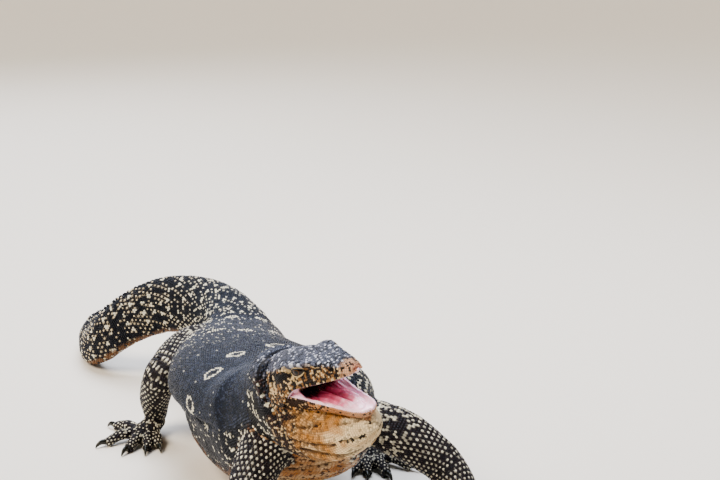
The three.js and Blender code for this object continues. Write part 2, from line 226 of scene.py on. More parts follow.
# Body sections from the back of the head to the tip of the tail: centre x, y, z, roll, half width, height up
# and down, squareness and tuck.
SPINE = (
    (*HEAD_BASE, -13, 36, 31, 32, 2.2, 0),
    (-57, -250, 224, -12, 36, 36, 42, 2.2, 0),
    (-45, -222, 202, -8, 48, 44, 58, 2.2, 0),
    (-30, -190, 176, -5, 72, 51, 70, 2.2, 0),
    (-18, -152, 152, -3, 96, 58, 86, 2.5, 0.03),
    (-15, -96, 134, -1, 104, 60, 98, 2.5, 0.07),
    (-26, -32, 126, 0, 104, 58, 102, 2.6, 0.14),
    (-38, 36, 122, 0, 99, 57, 100, 2.5, 0.2),
    (-33, 106, 120, 0, 85, 52, 88, 2.4, 0.16),
    (-12, 188, 118, 0, 66, 46, 62, 2.3, 0.08),
    (-1, 245, 125, 0, 45, 44, 50, 2.2, 0),
    (-8, 305, 133, 0, 35, 44, 46, 2.1, 0),
    (-32, 360, 133, 0, 30, 44, 45, 2.1, 0),
    (-70, 406, 126, 0, 26, 42, 42, 2.1, 0),
    (-110, 436, 106, 0, 23, 39, 38, 2.1, 0),
    (-144, 460, 79, 0, 21, 35, 34, 2.1, 0),
    (-167, 488, 50, 0, 18.5, 31, 31, 2.1, 0),
    (-178, 528, 31, 0, 16.5, 28, 28, 2.1, 0),
    (-176, 582, 26, 0, 15, 26, 26.4, 2.1, 0),
    (-154, 652, 23, 0, 13.5, 23, 23.3, 2.1, 0),
    (-104, 716, 20, 0, 12, 19.5, 20.4, 2.1, 0),
    (-36, 772, 16, 0, 10, 15.5, 16.4, 2.1, 0),
    (38, 806, 12, 0, 8, 12, 12.5, 2.1, 0),
    (98, 790, 9, 0, 6, 8.5, 9.5, 2, 0),
    (108, 734, 6, 0, 4.2, 5.5, 6.5, 2, 0),
    (70, 700, 4, 0, 2.8, 3.5, 4.4, 2, 0),
    (26, 704, 2.4, 0, 1.4, 1.6, 2.8, 2, 0),
)

# Upper head in its own frame: distance forward, half width, crown, lip line, depth of the palate, squareness.
CRANIUM = (
    (0, 34, 29.5, -30, 0.6, 2.2),
    (20, 37, 30, -24, 0.6, 2.4),
    (36, 36.5, 29.5, -11, 0.8, 2.6),
    (50, 33.5, 27.5, -3.5, 5, 2.8),
    (62, 30, 26.5, -3, 8, 3),
    (76, 25.5, 24, -3, 9, 3),
    (90, 21, 20.5, -3, 8.5, 2.8),
    (104, 17.5, 18, -2.5, 7, 2.6),
    (115, 14.5, 15.5, -2, 5.5, 2.4),
    (124, 10.5, 12, -1.5, 3.5, 2.2),
    (129.5, 6, 8, -0.5, 1.6, 2.1),
    (HEAD_LENGTH, 1.5, 4.5, 1, 0.5, 2),
)

# Lower jaw in its own frame: distance forward, half width, keel, lip line, depth of its floor, squareness.
JAW = (
    (8, 24, -30, -8, 0.6, 2.2),
    (24, 31, -32, -6, 0.6, 2.3),
    (40, 32, -29, -3, 1, 2.4),
    (54, 30, -25, -2, 6, 2.4),
    (70, 26, -21.5, -3.5, 8, 2.4),
    (88, 21.5, -19.5, -4.5, 8, 2.3),
    (106, 18, -17.5, -4.5, 7, 2.2),
    (120, 14.5, -15.5, -4, 5, 2.2),
    (129, 9.5, -12, -3.5, 3, 2.1),
    (133, 2, -6.5, -3, 0.6, 2),
)

# The blown-up throat in the jaw's frame, from the neck to the chin, with the columns of a body section.
THROAT = (
    (-50, 18, -60, 0, 34, 28, 42, 2.2, 0),
    (-10, 5, -46, 0, 43, 28, 42, 2.2, 0),
    (28, 0, -42, 0, 49, 24, 42, 2.2, 0),
    (62, 0, -42, 0, 44, 24, 42, 2.2, 0),
    (90, 0, -38, 0, 36, 20, 33, 2.2, 0),
    (112, 0, -30, 0, 25, 14, 20, 2.2, 0),
    (126, 0, -23, 0, 10, 7, 8, 2.2, 0),
)

# Brow and snout ridge of one side in the head's frame, with the columns of a body section.
BROW = (
    (26, 30, 16, 0, 3, 3, 4, 2, 0),
    (44, 28, 21.4, 0, 5, 3.6, 6, 2, 0),
    (62, 25, 23.4, 0, 5.5, 3.6, 6, 2, 0),
    (78, 19, 20.2, 0, 5, 3.2, 5, 2, 0),
    (96, 13.5, 16.4, 0, 4, 2.8, 4, 2, 0),
    (110, 10, 13, 0, 2.4, 2, 3, 2, 0),
)

# Legs from the joint inside the body to the wrist or ankle: the side that faces up, then rows of centre x, y,
# z, half width, height up and height down.
LEGS = {
    "arm_right": (
        (0, -0.4, 1),
        (-30, -172, 138, 26, 26, 26),
        (-68, -212, 128, 29, 30, 28),
        (-100, -258, 96, 23, 25, 24),
        (-106, -300, 58, 20, 21, 19),
        (-110, -332, 24, 15, 13, 12),
    ),
    "arm_left": (
        (0, -0.4, 1),
        (52, -172, 138, 26, 26, 26),
        (100, -202, 122, 28, 29, 27),
        (146, -228, 86, 22, 24, 23),
        (160, -266, 52, 19, 20, 18),
        (166, -300, 24, 15, 13, 12),
    ),
    "leg_right": (
        (-0.3, -1, 0.3),
        (-30, 204, 120, 30, 30, 30),
        (-82, 178, 124, 32, 33, 31),
        (-126, 142, 108, 24, 26, 24),
        (-134, 170, 68, 21, 22, 20),
        (-131, 196, 27, 15, 15, 14),
    ),
    "leg_left": (
        (0.3, -1, 0.3),
        (22, 190, 104, 28, 28, 28),
        (58, 154, 96, 30, 31, 30),
        (92, 104, 78, 23, 24, 23),
        (110, 62, 52, 20, 21, 19),
        (121, 24, 26, 14, 14, 13),
    ),
}


@dataclass(frozen=True)
class Table:
    """Rows of numbers along a stretch of body, the first one at place 0.

    Attributes:
        rows: The rows.
    """

    rows: tuple

    @property
    def last(self) -> float:
        """The place of the last row."""
        return len(self.rows) - 1.0

    def numbers(self, t: Array) -> Array:
        """The columns at places along the rows."""
        return np.moveaxis(row_at(np.array(self.rows, float), np.asarray(t, float)), -1, 0)


@dataclass(frozen=True)
class Sections(Table):
    """A stretch of body as squared ovals: its rows hold centre, roll, half width, heights and shape.

    Attributes:
        reference: The side that the upper half of a section faces.
        to_lizard: Takes the table's own frame to the lizard's.
    """

    reference: tuple = UPRIGHT
    to_lizard: Callable[[Array], Array] = as_is

    def surface(self, t: Array, angle: Array) -> Array:
        """Points of the skin: the centre, plus the section's outline in the plane that the curve crosses.

        Args:
            t: Places along the rows, of a shape that goes with that of angle.
            angle: Angles round the section.

        Returns:
            Points in the lizard's frame, with x, y, z as the last axis.
        """
        table = np.array(self.rows, float)
        t = np.asarray(t, float)
        row = row_at(table, t)
        ahead = row_at(table, np.minimum(t + 1e-3, self.last))[..., :3]
        along = unit(ahead - row_at(table, np.maximum(t - 1e-3, 0))[..., :3])
        level = unit(np.cross(np.array(self.reference, float), along))
        upright = np.cross(along, level)
        roll = np.radians(row[..., 3:4])
        across = level * np.cos(roll) + upright * np.sin(roll)
        high = upright * np.cos(roll) - level * np.sin(roll)
        a, h = section_point(angle, *np.moveaxis(row[..., 4:], -1, 0))
        return self.to_lizard(row[..., :3] + across * a[..., None] + high * h[..., None])


@dataclass(frozen=True)
class JawShell(Table):
    """The upper or lower half of the mouth: an arch from lip to lip, hollow on the side of the mouth.

    Its rows hold distance, half width, outer height, lip height, depth of the hollow and squareness.

    Attributes:
        to_lizard: Takes the table's own frame to the lizard's.
    """

    to_lizard: Callable[[Array], Array]

    @property
    def outward(self) -> float:
        """Plus 1 for the upper half, whose arch rises from the lips, and minus 1 for the lower one."""
        return 1.0 if self.rows[2][2] > self.rows[2][3] else -1.0

    def place_of(self, forward: Array) -> Array:
        """The place along the rows at a distance forward."""
        t = np.linspace(0, self.last, 600)
        return np.interp(forward, self.numbers(t)[0], t)

    def surface(self, t: Array, angle: Array) -> Array:
        """Points of the arch, from the left lip at angle 0 to the right lip at half a turn."""
        x, w, outer, lip, _, power = self.numbers(t)
        across, high = section_point(np.clip(angle, 0, math.pi), w, np.abs(outer - lip), 0, power)
        points = np.stack(np.broadcast_arrays(x, across, lip + self.outward * high), axis=-1)
        return self.to_lizard(points)

    def hollow(self, t: Array) -> tuple[Array, Array]:
        """Half width and depth of the hollow between the lips."""
        _, w, outer, lip, deep, _ = self.numbers(t)
        inside = np.maximum(w - np.minimum(LIP_THICKNESS, w * 0.35), w * 0.3)
        return inside, np.minimum(deep, np.abs(outer - lip) * 0.6)

    def inner(self, t: Array, angle: Array) -> Array:
        """Points of the hollow, steep beside each lip and flat in the middle, from right to left."""
        x, lip = self.numbers(t)[[0, 3]]
        inside, deep = self.hollow(t)
        high = lip + self.outward * (deep * np.abs(np.sin(angle)) ** 0.7)
        return self.to_lizard(np.stack(np.broadcast_arrays(x, -inside * np.cos(angle), high), axis=-1))

    def ring(self, t: Array, outside: int, inside: int) -> Array:
        """Whole rings: the arch from lip to lip, then back across the hollow."""
        arch = self.surface(t[:, None], np.linspace(0, math.pi, outside)[None])
        back = self.inner(t[:, None], (math.pi * (np.arange(inside) + 0.5) / inside)[None])
        rings = np.concatenate([arch, back], axis=1)
        return rings if self.outward > 0 else rings[:, ::-1]


BODY = Sections(SPINE)
UPPER_HEAD = JawShell(CRANIUM, HEAD.place)
LOWER_JAW = JawShell(JAW, HEAD.place_jaw)
POUCH = Sections(THROAT, to_lizard=HEAD.place_jaw)


def leg_sections(name: str) -> Sections:
    """The sections of one leg, with round ovals that have no roll and no tuck."""
    reference, *rows = LEGS[name]
    return Sections(tuple((x, y, z, 0, w, up, down, 2, 0) for x, y, z, w, up, down in rows), reference)


@dataclass(frozen=True)
class Digit:
    """One finger or toe.

    Attributes:
        spread: Degrees from the paw's heading, towards the inner side.
        reach: Length in front of its root.
        thick: Half thickness.
    """

    spread: float
    reach: float
    thick: float


HAND_DIGITS = (
    Digit(50, 30, 7.2), Digit(26, 40, 7.4), Digit(2, 45, 7.4), Digit(-24, 43, 7.2), Digit(-56, 31, 6.8),
)
FOOT_DIGITS = (
    Digit(44, 25, 7.4), Digit(24, 33, 7.8), Digit(2, 42, 7.8), Digit(-32, 44, 7.6), Digit(-102, 45, 7.2),
)


@dataclass(frozen=True)
class Paw:
    """A hand or foot: a palm and five digits with claws.

    Attributes:
        name: The node's name.
        joint: Where the leg ends.
        points: The heading, in degrees from straight ahead.
        inner: Plus 1 where the inner digits lie towards the animal's left.
        palm: Length and half width of the palm.
        digits: The five digits, from the inner side out.
    """

    name: str
    joint: tuple[float, float, float]
    points: float
    inner: int
    palm: tuple[float, float]
    digits: tuple[Digit, ...]

    @staticmethod
    def heading(degrees: float) -> Array:
        """The level direction that many degrees from straight ahead."""
        return np.array([math.sin(math.radians(degrees)), -math.cos(math.radians(degrees)), 0])

    @staticmethod
    def along(root: Sequence[float], way: Array, shapes: Sequence[tuple[float, ...]]) -> Sections:
        """Sections along a level way, from rows of distance, height, half width, heights, squareness."""
        x, y = root[:2]
        rows = ((x + way[0] * d, y + way[1] * d, z, 0, w, u, v, p, 0) for d, z, w, u, v, p in shapes)
        return Sections(tuple(rows))

    def palm_sections(self) -> Sections:
        """The palm, from inside the wrist to the roots of the digits."""
        reach, width = self.palm
        z = self.joint[2]
        return self.along(self.joint, self.heading(self.points), (
            (-6, z - 1, 13, 12, 13, 2),
            (reach * 0.35, z * 0.75, 16, 11, 13, 2),
            (reach * 0.75, 10.5, width, 9, 11.5, 2.3),
            (reach, 8, width * 0.8, 6, 9, 2.3),
        ))

    def root_of(self, digit: Digit) -> Array:
        """Where a digit leaves the palm: farther back and farther out the more it spreads."""
        reach, width = self.palm
        out = math.sin(math.radians(max(-90.0, min(90.0, digit.spread * 1.6))))
        back = reach * (0.78 - 0.3 * abs(digit.spread / 90) ** 1.5)
        side = self.heading(self.points + self.inner * 90) * width * 0.78 * out
        return np.array([self.joint[0], self.joint[1], 0]) + self.heading(self.points) * back + side

    def toe_sections(self, digit: Digit) -> Sections:
        """A digit with a raised knuckle and its tip on the floor."""
        k = digit.thick
        return self.along(self.root_of(digit), self.heading(self.points + self.inner * digit.spread), (
            (-6, 9, k * 0.9, k * 0.8, k, 2),
            (digit.reach * 0.36, 13.5, k, k, k, 2),
            (digit.reach * 0.72, 10.5, k * 0.85, k * 0.85, k * 0.9, 2),
            (digit.reach, 5.6, k * 0.8, k * 0.8, k * 0.85, 2),
        ))

    def claw_sections(self, digit: Digit) -> Sections:
        """A claw that arches from the digit's tip down to a point."""
        k = digit.thick
        return self.along(self.root_of(digit), self.heading(self.points + self.inner * digit.spread), (
            (digit.reach - 2, 6.6, k * 0.44, k * 0.6, k * 0.5, 2),
            (digit.reach + CLAW_LENGTH * 0.42, 8, k * 0.36, k * 0.5, k * 0.44, 2),
            (digit.reach + CLAW_LENGTH * 0.8, 5.2, k * 0.22, k * 0.3, k * 0.28, 2),
            (digit.reach + CLAW_LENGTH, 1.4, 0.5, 0.6, 0.6, 2),
        ))


PAWS = (
    Paw("hand_right", (-110, -330, 22), -16, 1, (34, 22), HAND_DIGITS),
    Paw("hand_left", (166, -298, 22), 22, -1, (34, 22), HAND_DIGITS),
    Paw("foot_right", (-132, 192, 24), -42, 1, (42, 23), FOOT_DIGITS),
    Paw("foot_left", (121, 24, 24), 10, -1, (42, 23), FOOT_DIGITS),
)


def frame_shift() -> Array:
    """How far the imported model's origin lies from the sections' own, from the middles of its two eyes."""
    packed = [(np.array(low) + np.array(high)) / 2 for low, high in (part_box("eye_left"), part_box("eye_right"))]
    written = [HEAD.place(eye_centre(side)) for side in (1, -1)]
    shift = np.mean(packed, axis=0) / MM - np.mean(written, axis=0)
    return np.array([shift[0], shift[1], 0.0])


SHIFT = frame_shift()


def to_frame(points: Array) -> Array:
    """Takes points of the lizard's own coordinates, in millimetres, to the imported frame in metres."""
    return (points + SHIFT) * MM


def from_frame(points: Array) -> Array:
    """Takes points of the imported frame, in metres, to the lizard's own coordinates in millimetres."""
    return points / MM - SHIFT


def make_object(name: str, points: Array, faces: Sequence[Array]) -> Object:
    """Puts a smooth-shaded mesh into the scene.

    Args:
        name: The piece's name.
        points: Vertices (n, 3) in the lizard's own coordinates.
        faces: Arrays of vertex numbers, one for each number of corners.

    Returns:
        The new object, at the origin.
    """
    mesh = bpy.data.meshes.new(name)
    mesh.vertices.add(len(points))
    mesh.vertices.foreach_set("co", to_frame(points).astype(np.float32).ravel())
    corners = [f.reshape(-1) for f in faces]
    sizes = np.concatenate([np.full(len(f), f.shape[1]) for f in faces])
    mesh.loops.add(int(sizes.sum()))
    mesh.loops.foreach_set("vertex_index", np.concatenate(corners).astype(np.int32))
    mesh.polygons.add(len(sizes))
    mesh.polygons.foreach_set("loop_start", (np.cumsum(sizes) - sizes).astype(np.int32))
    mesh.polygons.foreach_set("use_smooth", np.ones(len(sizes), bool))
    mesh.update(calc_edges=True)
    made = bpy.data.objects.new(name, mesh)
    bpy.context.scene.collection.objects.link(made)
    return made


def read_vectors(data: Sequence, name: str) -> Array:
    """The vectors of all the points, normals or values of a mesh."""
    values = np.empty(len(data) * 3, np.float32)
    data.foreach_get(name, values)
    return values.reshape(-1, 3).astype(float)


def read_points(mesh: Mesh) -> Array:
    """A mesh's vertices in the lizard's own coordinates."""
    return from_frame(read_vectors(mesh.vertices, "co"))


def grid_faces(rings: int, sides: int, closed: bool = True) -> Array:
    """Four-sided faces between neighbouring rings of a grid, joined round the ring where it is closed."""
    i, j = np.meshgrid(np.arange(rings - 1), np.arange(sides if closed else sides - 1), indexing="ij")
    near, far, k = i * sides, (i + 1) * sides, (j + 1) % sides
    return np.stack([near + j, near + k, far + k, far + j], axis=-1).reshape(-1, 4)


def outward_faces(points: Array, faces: list[Array]) -> list[Array]:
    """Turns the faces of a closed shape outwards, where its signed volume shows that they point inwards."""
    corners = np.concatenate([f[:, [0, k, k + 1]] for f in faces for k in range(1, f.shape[1] - 1)])
    first, second, third = (points[corners[:, k]] for k in range(3))
    volume = (first * np.cross(second, third)).sum()
    return faces if volume > 0 else [f[:, ::-1] for f in faces]


def closed_tube(rings: Array) -> tuple[Array, list[Array]]:
    """Closes a stack of rings (rings, sides, 3) with a fan at each end.

    Args:
        rings: Rings that run anticlockwise seen from the side the stack goes to.

    Returns:
        The vertices, and the arrays of faces, which point outwards.
    """
    count, sides = rings.shape[:2]
    points = np.concatenate([rings.reshape(-1, 3), rings[:1].mean(axis=1), rings[-1:].mean(axis=1)])
    j = np.arange(sides)
    k = (j + 1) % sides
    first, last, rear = count * sides, count * sides + 1, (count - 1) * sides
    start = np.stack([np.full(sides, first), k, j], axis=-1)
    end = np.stack([np.full(sides, last), rear + j, rear + k], axis=-1)
    return points, [grid_faces(count, sides), np.concatenate([start, end])]


def loft(shape: Sections, start: float, end: float, rings: int, sides: int):
    """A closed stretch of body between two places of its table, as vertices and faces."""
    angle = (2 * math.pi * np.arange(sides) / sides)[None]
    return closed_tube(shape.surface(np.linspace(start, end, rings)[:, None], angle))


def ball(centre: Array, sizes: Sequence[float], place: Callable, rings: int = 24, sides: int = 32):
    """An egg with three half sizes as vertices and faces: circles from its rear pole to its front one."""
    up = np.linspace(0.02, math.pi - 0.02, rings)[:, None]
    round_ = (2 * math.pi * np.arange(sides) / sides)[None]
    x, y, z = -np.cos(up), np.sin(up) * np.cos(round_), np.sin(up) * np.sin(round_)
    points = np.stack(np.broadcast_arrays(x, y, z), axis=-1) * sizes + centre
    return closed_tube(place(points))


def joined(name: str, shapes: Sequence[tuple[Array, list[Array]]]) -> Object:
    """One object of several closed shapes."""
    points, quads, triangles, offset = [], [], [], 0
    for vertices, faces in shapes:
        points.append(vertices)
        quads += [f + offset for f in faces if f.shape[1] == 4]
        triangles += [f + offset for f in faces if f.shape[1] == 3]
        offset += len(vertices)
    groups = [np.concatenate(kind) for kind in (quads, triangles) if kind]
    return make_object(name, np.concatenate(points), groups)


def finished_mesh(shape: Object) -> Mesh:
    """The mesh of an object with its modifiers applied."""
    bpy.context.view_layer.update()
    seen = shape.evaluated_get(bpy.context.evaluated_depsgraph_get())
    return bpy.data.meshes.new_from_object(seen)


def swap_mesh(shape: Object, mesh: Mesh) -> None:
    """Gives an object another mesh, and removes the old one and the modifiers."""
    shape.modifiers.clear()
    old, shape.data = shape.data, mesh
    bpy.data.meshes.remove(old)


def discard(shape: Object) -> None:
    """Takes a helper object out of the scene."""
    mesh = shape.data
    bpy.data.objects.remove(shape)
    bpy.data.meshes.remove(mesh)


def paint(mesh: Mesh, colours: Array) -> None:
    """Writes one linear colour for each vertex as the attribute that the materials read."""
    layer = mesh.color_attributes.new(TINT, "FLOAT_COLOR", "POINT")
    full = np.concatenate([colours, np.ones((len(colours), 1))], axis=1)
    layer.data.foreach_set("color", full.astype(np.float32).ravel())


def set_inputs(node: bpy.types.Node, **values: object) -> None:
    """Sets a node's inputs, whose names are written with _ for a space."""
    for name, value in values.items():
        node.inputs[name.replace("_", " ")].default_value = value


class NodeTree:
    """A geometry node group that is put together by calls."""

    def __init__(self, name: str) -> None:
        """Starts a group that takes a geometry and gives one back."""
        self.tree = bpy.data.node_groups.new(name, "GeometryNodeTree")
        self.tree.interface.new_socket("Geometry", in_out="INPUT", socket_type="NodeSocketGeometry")
        self.tree.interface.new_socket("Geometry", in_out="OUTPUT", socket_type="NodeSocketGeometry")
        self.start = self.add("NodeGroupInput").outputs[0]
        self.end = self.add("NodeGroupOutput").inputs[0]

    def add(self, kind: str, **settings: object) -> bpy.types.Node:
        """Adds a node and sets its options."""
        node = self.tree.nodes.new(kind)
        for key, value in settings.items():
            setattr(node, key, value)
        return node

    def link(self, start: NodeSocket, end: NodeSocket) -> None:
        """Joins an output to an input."""
        self.tree.links.new(start, end)

    def shape(self, target: Object) -> NodeSocket:
        """The geometry of another object."""
        node = self.add("GeometryNodeObjectInfo")
        set_inputs(node, Object=target)
        return node.outputs["Geometry"]

    def store(self, geometry: NodeSocket, name: str, kind: str, value: NodeSocket):
        """Keeps a value at each point under a name, and gives the geometry on."""
        node = self.add("GeometryNodeStoreNamedAttribute", data_type=kind, domain="POINT")
        set_inputs(node, Name=name)
        self.link(geometry, node.inputs["Geometry"])
        self.link(value, node.inputs["Value"])
        return node.outputs["Geometry"]

    def run(self, shape: Object) -> Mesh:
        """Runs the group on an object and gives the resulting mesh."""
        modifier = shape.modifiers.new("nodes", "NODES")
        modifier.node_group = self.tree
        mesh = finished_mesh(shape)
        shape.modifiers.remove(modifier)
        bpy.data.node_groups.remove(self.tree)
        return mesh


def cloud(points: Array) -> Object:
    """An object of loose points."""
    return make_object("cloud", points, [np.empty((0, 3), int)])


def settle(points: Array, skin: Object) -> tuple[Array, Array]:
    """Finds the nearest place of the skin to each point.

    Args:
        points: Places (n, 3) in the lizard's own coordinates.
        skin: The skin, which keeps its smooth normals as the attribute "outward".

    Returns:
        The places on the skin, and the skin's outward directions there.
    """
    loose = cloud(points)
    nodes = NodeTree("settle")
    target = nodes.shape(skin)
    geometry = nodes.start
    position = nodes.add("GeometryNodeInputPosition").outputs[0]
    outward = nodes.add("GeometryNodeInputNamedAttribute", data_type="FLOAT_VECTOR")
    set_inputs(outward, Name="outward")
    for name, value in (("place", position), ("way", outward.outputs["Attribute"])):
        sample = nodes.add("GeometryNodeSampleNearestSurface", data_type="FLOAT_VECTOR")
        nodes.link(target, sample.inputs["Mesh"])
        nodes.link(value, sample.inputs["Value"])
        geometry = nodes.store(geometry, name, "FLOAT_VECTOR", sample.outputs["Value"])
    nodes.link(geometry, nodes.end)
    mesh = nodes.run(loose)
    place, way = (read_vectors(mesh.attributes[name].data, "vector") for name in ("place", "way"))
    discard(loose)
    bpy.data.meshes.remove(mesh)
    return from_frame(place), unit(way)


def nearest(points: Array, others: Array) -> Array:
    """The number of the nearest of the other points to each point."""
    loose, known = cloud(points), cloud(others)
    nodes = NodeTree("nearest")
    sample = nodes.add("GeometryNodeSampleNearest", domain="POINT")
    nodes.link(nodes.shape(known), sample.inputs["Geometry"])
    nodes.link(nodes.store(nodes.start, "which", "INT", sample.outputs["Index"]), nodes.end)
    mesh = nodes.run(loose)
    which = np.empty(len(mesh.vertices), np.int32)
    mesh.attributes["which"].data.foreach_get("value", which)
    discard(loose)
    discard(known)
    bpy.data.meshes.remove(mesh)
    return which


def scatter(skin: Object, spacing: float) -> Array:
    """Random points of the skin that keep a distance from each other."""
    nodes = NodeTree("scatter")
    spread = nodes.add("GeometryNodeDistributePointsOnFaces", distribute_method="POISSON")
    set_inputs(spread, Distance_Min=spacing * MM, Density_Max=4 / (spacing * MM) ** 2, Seed=SEED)
    vertices = nodes.add("GeometryNodePointsToVertices")
    nodes.link(nodes.start, spread.inputs["Mesh"])
    nodes.link(spread.outputs["Points"], vertices.inputs["Points"])
    nodes.link(vertices.outputs["Mesh"], nodes.end)
    mesh = nodes.run(skin)
    points = read_points(mesh)
    bpy.data.meshes.remove(mesh)
    return points


@dataclass
class Fold:
    """A crease of the skin with a swollen edge on each side.

    Attributes:
        shape: The stretch of body that it lies on.
        t: Places along the rows of its first point, its bend and its last one.
        angle: Angles round the section at the same three points, in degrees.
        depth: Depth of the crease.
        width: Half width of the crease.
        swell: Height of the swollen edges, as a share of the depth.
    """

    shape: Sections | JawShell
    t: tuple[float, float, float]
    angle: tuple[float, float, float]
    depth: float
    width: float
    swell: float = 0.35

    def line(self, count: int = 40) -> Array:
        """Points of the crease: a parabola through its three points, in place and angle."""
        s = np.linspace(0, 1, count)
        weights = np.stack([(1 - s) * (1 - 2 * s), 4 * s * (1 - s), s * (2 * s - 1)])
        return self.shape.surface(np.array(self.t) @ weights, np.radians(self.angle) @ weights)

    def nearness(self, points: Array) -> tuple[Array, Array]:
        """Distance of each point from the crease, and how far along it the nearest place is, from 0 to 1."""
        line = self.line()
        near = np.full(len(points), 1e9)
        place = np.zeros(len(points))
        for k, step in enumerate(line):
            distance = np.linalg.norm(points - step, axis=1)
            closer = distance < near
            near[closer] = distance[closer]
            place[closer] = k / (len(line) - 1)
        return near, np.sqrt(np.clip(4 * place * (1 - place), 0, 1)) * 0.85 + 0.15

    def lift(self, points: Array) -> Array:
        """How far each point moves outwards: down in the crease, up beside it, less at both ends."""
        near, fade = self.nearness(points)
        side = bell(near - 2 * self.width, self.width)
        return fade * self.depth * (self.swell * side - bell(near, self.width))

    def shadow(self, points: Array) -> Array:
        """1 in the crease and 0 away from it, for the painted shade in the crease."""
        near, fade = self.nearness(points)
        return bell(near, self.width * 0.8) * eased(0.15, 0.5, fade)


@dataclass
class Skin:
    """The one skin over all the flesh.

    Attributes:
        voxel: Size of the cells of which the skin is cast, in millimetres.
        fillet_voxel: Size of the coarse cells that round the roots of the limbs.
        most_faces: Triangles that the finished skin may have.
        inset: How far the skin lies inside the solids, for the scales to stand on.
    """

    voxel: float = 1.15
    fillet_voxel: float = 3.4
    most_faces: int = 190_000
    inset: float = 0.45

    @staticmethod
    def cast(shape: Object, name: str, voxel: float) -> Object:
        """Casts the closed shapes of an object as one surface of small cells."""
        modifier = shape.modifiers.new("cast", "REMESH")
        modifier.mode = "VOXEL"
        modifier.voxel_size = voxel * MM
        mesh = finished_mesh(shape)
        discard(shape)
        made = bpy.data.objects.new(name, mesh)
        bpy.context.scene.collection.objects.link(made)
        return made

    @staticmethod
    def relax(shape: Object, rounds: int, group: str = "") -> None:
        """Evens a surface out, in a group of its vertices where one is named."""
        modifier = shape.modifiers.new("relax", "SMOOTH")
        modifier.factor = 0.5
        modifier.iterations = rounds
        modifier.vertex_group = group
        swap_mesh(shape, finished_mesh(shape))

    def rounded_roots(self) -> tuple[Array, list[Array]]:
        """Trunk and limbs cast coarsely and evened out, which fills the corners between them."""
        shapes = [loft(BODY, 0.4, 13, 90, 64), loft(POUCH, 0, 5, 40, 40)]
        shapes += [loft(leg_sections(name), 0, 3.6, 40, 32) for name in LEGS]
        shapes.append(closed_tube(UPPER_HEAD.ring(np.linspace(0, 2.2, 20), 41, 20)))
        shapes.append(closed_tube(LOWER_JAW.ring(np.linspace(0, 2.2, 20), 41, 20)))
        rough = self.cast(joined("rough", shapes), "rough", self.fillet_voxel)
        self.relax(rough, 26)
        points = read_points(rough.data)
        faces = np.empty(len(rough.data.polygons) * 4, np.int32)
        rough.data.loops.foreach_get("vertex_index", faces)
        discard(rough)
        return points, [faces.reshape(-1, 4)]

    def flesh(self) -> Object:
        """All the flesh as closed shapes that reach into each other."""
        shapes = [loft(BODY, 0, BODY.last, 420, 80), loft(POUCH, 0, POUCH.last, 80, 64), self.rounded_roots()]
        for half in (UPPER_HEAD, LOWER_JAW):
            shapes.append(closed_tube(half.ring(np.linspace(0, half.last, 150), 81, 40)))
        for side in (1, -1):
            brow = Sections(tuple((x, y * side, z, *sizes) for x, y, z, *sizes in BROW), to_lizard=HEAD.place)
            shapes.append(loft(brow, 0, brow.last, 40, 20))
            shapes.append(ball(eye_centre(side), EYE_BULGE, HEAD.place))
        shapes += [loft(leg_sections(name), 0, 4, 70, 48) for name in LEGS]
        for paw in PAWS:
            shapes.append(loft(paw.palm_sections(), 0, 3, 40, 36))
            shapes += [loft(paw.toe_sections(digit), 0, 3, 40, 24) for digit in paw.digits]
        return joined("flesh", shapes)

    def sculpt(self, points: Array, outward: Array) -> Array:
        """Moves the skin for all that is finer than the sections: folds, ears, nostrils and eye sockets."""
        lift = np.full(len(points), -self.inset)
        for fold in FOLDS:
            lift += fold.lift(points)
        lift += head_relief(points)
        lift += 0.5 * ripple(points, 26, 3) * (1 - near_head(points))
        moved = points + outward * lift[:, None]
        return sink_sockets(moved)

    def build(self) -> Object:
        """Casts, evens out, thins and sculpts the skin."""
        skin = self.cast(self.flesh(), "monitor_skin", self.voxel)
        away = near_head(read_points(skin.data)) < 0.5
        group = skin.vertex_groups.new(name="thin_out")
        for level in (False, True):
            group.add(np.flatnonzero(away == level).tolist(), float(level), "REPLACE")
        self.relax(skin, 5)
        modifier = skin.modifiers.new("thin", "DECIMATE")
        modifier.ratio = min(1.0, self.most_faces / (len(skin.data.polygons) * 2))
        modifier.vertex_group = "thin_out"
        modifier.use_collapse_triangulate = True
        mesh = finished_mesh(skin)
        swap_mesh(skin, mesh)
        skin.vertex_groups.clear()
        points = read_points(mesh)
        sculpted = self.sculpt(points, unit(read_vectors(mesh.vertex_normals, "vector")))
        sculpted[:, 2] = np.maximum(sculpted[:, 2], 0.5)
        mesh.vertices.foreach_set("co", to_frame(sculpted).astype(np.float32).ravel())
        mesh.update()
        mesh.polygons.foreach_set("use_smooth", np.ones(len(mesh.polygons), bool))
        layer = mesh.attributes.new("outward", "FLOAT_VECTOR", "POINT")
        outward = unit(read_vectors(mesh.vertex_normals, "vector"))
        layer.data.foreach_set("vector", outward.astype(np.float32).ravel())
        return skin


